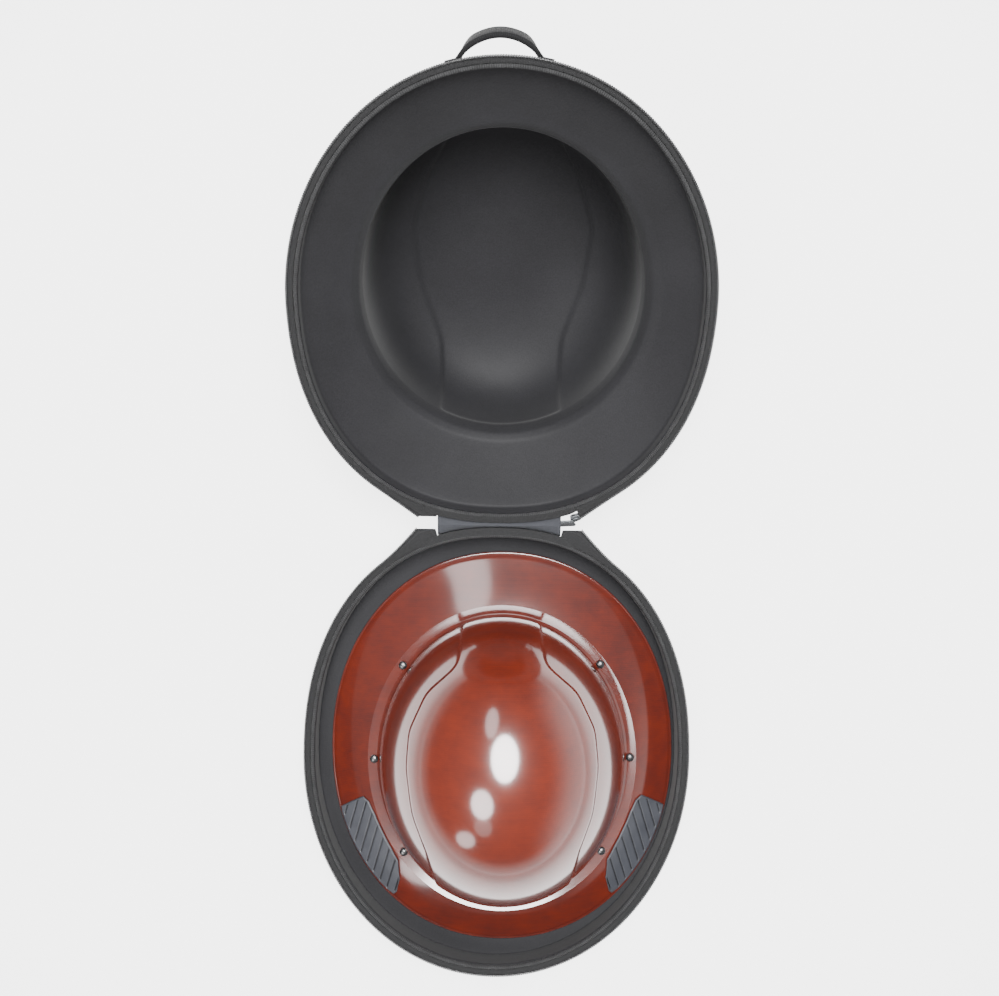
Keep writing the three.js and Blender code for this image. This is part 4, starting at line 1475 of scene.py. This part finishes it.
class HATCASE_OT_slider(bpy.types.Operator):
    """Makes the zip's slider and its pull"""

    bl_idname = "hat_case.slider"
    bl_label = "Slider and Pull"
    bl_options = {"REGISTER", "UNDO"}

    def execute(self, context):
        case, trim, colours = sizes_of(context, "case", "trim", "colours")
        metal = metal_finish(colours.metal)
        end, onward = zip_end_place(case, trim)
        at = end + onward * (SEAT_GAP + trim.slider_length / 2)
        turn = math.atan2(onward[1], onward[0])
        depth = PARTING_GAP + trim.pull_thickness + SEAT_GAP
        self.build("slider_body", slider_parts(trim), turn, (*at, depth), metal, case, "zip_slider")
        hinge_y = case.hinge_reach + case.hinge_gap
        x = trim.hinge_across + SEAT_GAP + trim.pull_length / 2
        y = hinge_y + trim.pull_overhang - trim.pull_width / 2
        place = (x, y, PARTING_GAP)
        self.build("pull_tab", pull_parts(trim), math.radians(-4), place, metal, case, "zip_pull")
        return {"FINISHED"}

    def build(self, name, slabs, turn, place, metal, case, node):
        vertices = []
        faces = []
        for points, sides in slabs:
            start = len(vertices)
            vertices.extend(in_lid(case, turned(points, turn, place)).tolist())
            faces.extend([[start + at for at in side] for side in sides])
        piece = make_mesh(name, vertices, faces, sharp=50)
        dress(piece, metal, "lid", [node])


class HATCASE_OT_hat(bpy.types.Operator):
    """Makes the hard hat's shell"""

    bl_idname = "hat_case.hat"
    bl_label = "Hat"
    bl_options = {"REGISTER", "UNDO"}

    def execute(self, context):
        hat, case, colours = sizes_of(context, "hat", "case", "colours")
        piece = make_mesh("hard_hat", *hat_shell(hat, case), sharp=20)
        dress(piece, hat_finish(colours.hat), "base", ["hat_shell"])
        return {"FINISHED"}


class HATCASE_OT_grips(bpy.types.Operator):
    """Makes the two rubber grips on the brim"""

    bl_idname = "hat_case.grips"
    bl_label = "Grips"
    bl_options = {"REGISTER", "UNDO"}

    def execute(self, context):
        hat, case, colours = sizes_of(context, "hat", "case", "colours")
        rubber = grip_finish(colours.grip)
        for side, word in ((-1, "left"), (1, "right")):
            piece = make_mesh(f"brim_grip_{word}", *grip_pad(hat, case, side), sharp=70)
            dress(piece, rubber, "base", [f"hat_grip_{word}"])
        return {"FINISHED"}


class HATCASE_OT_rivets(bpy.types.Operator):
    """Makes the six rivets round the crown"""

    bl_idname = "hat_case.rivets"
    bl_label = "Rivets"
    bl_options = {"REGISTER", "UNDO"}

    def execute(self, context):
        hat, case, colours = sizes_of(context, "hat", "case", "colours")
        finish = rivet_finish(colours.rivet)
        for number, angle in enumerate(RIVET_ANGLES, 1):
            piece = make_mesh(f"crown_rivet_{number}", *rivet_body(hat, case, angle), sharp=50)
            dress(piece, finish, "base", [f"hat_rivet_{number}"])
        return {"FINISHED"}


class HATCASE_OT_stage(bpy.types.Operator):
    """Makes the floor, the lights and the camera"""

    bl_idname = "hat_case.stage"
    bl_label = "Stage"
    bl_options = {"REGISTER", "UNDO"}

    def execute(self, context):
        self.floor(context)
        self.lights(context)
        self.camera(context)
        return {"FINISHED"}

    def floor(self, context):
        reach = FLOOR_REACH
        corners = [(-reach, -reach, 0), (reach, -reach, 0), (reach, reach, 0), (-reach, reach, 0)]
        mesh = bpy.data.meshes.new("floor")
        mesh.from_pydata(corners, [], [(0, 1, 2, 3)])
        floor = bpy.data.objects.new("floor", mesh)
        context.scene.collection.objects.link(floor)
        mesh.materials.append(floor_finish(sizes_of(context, "colours")[0].floor))

    def lights(self, context):
        world = bpy.data.worlds.new("studio")
        context.scene.world = world
        world.use_nodes = True
        tree = world.node_tree
        coordinates = tree.nodes.new("ShaderNodeTexCoord")
        split = tree.nodes.new("ShaderNodeSeparateXYZ")
        tree.links.new(coordinates.outputs["Generated"], split.inputs["Vector"])

        def ranged(axis, start, end, low, high):
            made = tree.nodes.new("ShaderNodeMapRange")
            made.interpolation_type = "SMOOTHSTEP"
            tree.links.new(split.outputs[axis], made.inputs["Value"])
            for socket, number in zip(RANGE_SOCKETS, (start, end, low, high)):
                made.inputs[socket].default_value = number
            return made.outputs["Result"]

        def combined(operation, first, second):
            made = tree.nodes.new("ShaderNodeMath")
            made.operation = operation
            tree.links.new(first, made.inputs[0])
            tree.links.new(second, made.inputs[1])
            return made.outputs["Value"]

        total = combined("ADD", ranged("Z", -0.02, 0.05, 2.0, 0.1), ranged("Z", 0.1, 0.9, 0.1, 0.3))
        for side, start, end, top, brightness in WALLS:
            beside = ranged(side, start, end, 0.0, brightness)
            glow = combined("MULTIPLY", beside, ranged("Z", 0.05, top, 1.0, 0.0))
            total = combined("ADD", total, glow)
        tree.links.new(total, tree.nodes["Background"].inputs["Color"])
        target = Vector(BOX_TARGET)
        for name, direction, width, height, brightness in SOFT_BOXES:
            lamp = bpy.data.lights.new(name, "AREA")
            lamp.shape = "ELLIPSE"
            lamp.size = width
            lamp.size_y = height
            lamp.energy = brightness * math.pi * width * height * math.pi / 4
            light = bpy.data.objects.new(name, lamp)
            context.scene.collection.objects.link(light)
            aim = Vector(direction).normalized()
            light.location = target + aim * BOX_DISTANCE
            across = Vector((0, 1, 0)).cross(aim).normalized()
            light.rotation_euler = Matrix((across, aim.cross(across), aim)).transposed().to_euler()

    def camera(self, context):
        lens = bpy.data.cameras.new("photo view")
        lens.lens = CAMERA_LENS
        lens.sensor_width = 36
        lens.sensor_fit = "HORIZONTAL"
        lens.clip_start = 0.01
        camera = bpy.data.objects.new("photo view", lens)
        context.scene.collection.objects.link(camera)
        camera.location = CAMERA_PLACE
        camera.rotation_euler = (0, 0, CAMERA_ROLL)
        context.scene.camera = camera


class HATCASE_PT_panel(bpy.types.Panel):
    """Lists the sizes, the colours and the pieces"""

    bl_idname = "HATCASE_PT_panel"
    bl_label = "Hard Hat Case"
    bl_space_type = "VIEW_3D"
    bl_region_type = "UI"
    bl_category = "Hard Hat Case"

    def draw(self, context):
        layout = self.layout
        for group in GROUPS:
            settings = getattr(context.scene, group)
            column = layout.column(align=True)
            for key in settings.__annotations__:
                column.prop(settings, key)
        for operator in PIECES:
            layout.operator(operator.bl_idname)


GROUPS = {
    "hat_case_hat": HatSizes,
    "hat_case_case": CaseSizes,
    "hat_case_trim": TrimSizes,
    "hat_case_colours": CaseColours,
}

PIECES = (
    HATCASE_OT_base_shell,
    HATCASE_OT_lid_shell,
    HATCASE_OT_bindings,
    HATCASE_OT_zips,
    HATCASE_OT_hinge_cloth,
    HATCASE_OT_handle,
    HATCASE_OT_slider,
    HATCASE_OT_hat,
    HATCASE_OT_grips,
    HATCASE_OT_rivets,
    HATCASE_OT_stage,
)


def register():
    for group in GROUPS.values():
        bpy.utils.register_class(group)
    for operator in PIECES:
        bpy.utils.register_class(operator)
    bpy.utils.register_class(HATCASE_PT_panel)
    for name, group in GROUPS.items():
        setattr(bpy.types.Scene, name, bpy.props.PointerProperty(type=group))


def unregister():
    for name in GROUPS:
        delattr(bpy.types.Scene, name)
    bpy.utils.unregister_class(HATCASE_PT_panel)
    for operator in reversed(PIECES):
        bpy.utils.unregister_class(operator)
    for group in reversed(GROUPS.values()):
        bpy.utils.unregister_class(group)


def main():
    register()
    bpy.ops.hat_case.base_shell()
    bpy.ops.hat_case.lid_shell()
    bpy.ops.hat_case.bindings()
    bpy.ops.hat_case.zips()
    bpy.ops.hat_case.hinge_cloth()
    bpy.ops.hat_case.handle()
    bpy.ops.hat_case.slider()
    bpy.ops.hat_case.hat()
    bpy.ops.hat_case.grips()
    bpy.ops.hat_case.rivets()
    bpy.ops.hat_case.stage()


if __name__ == "__main__":
    main()
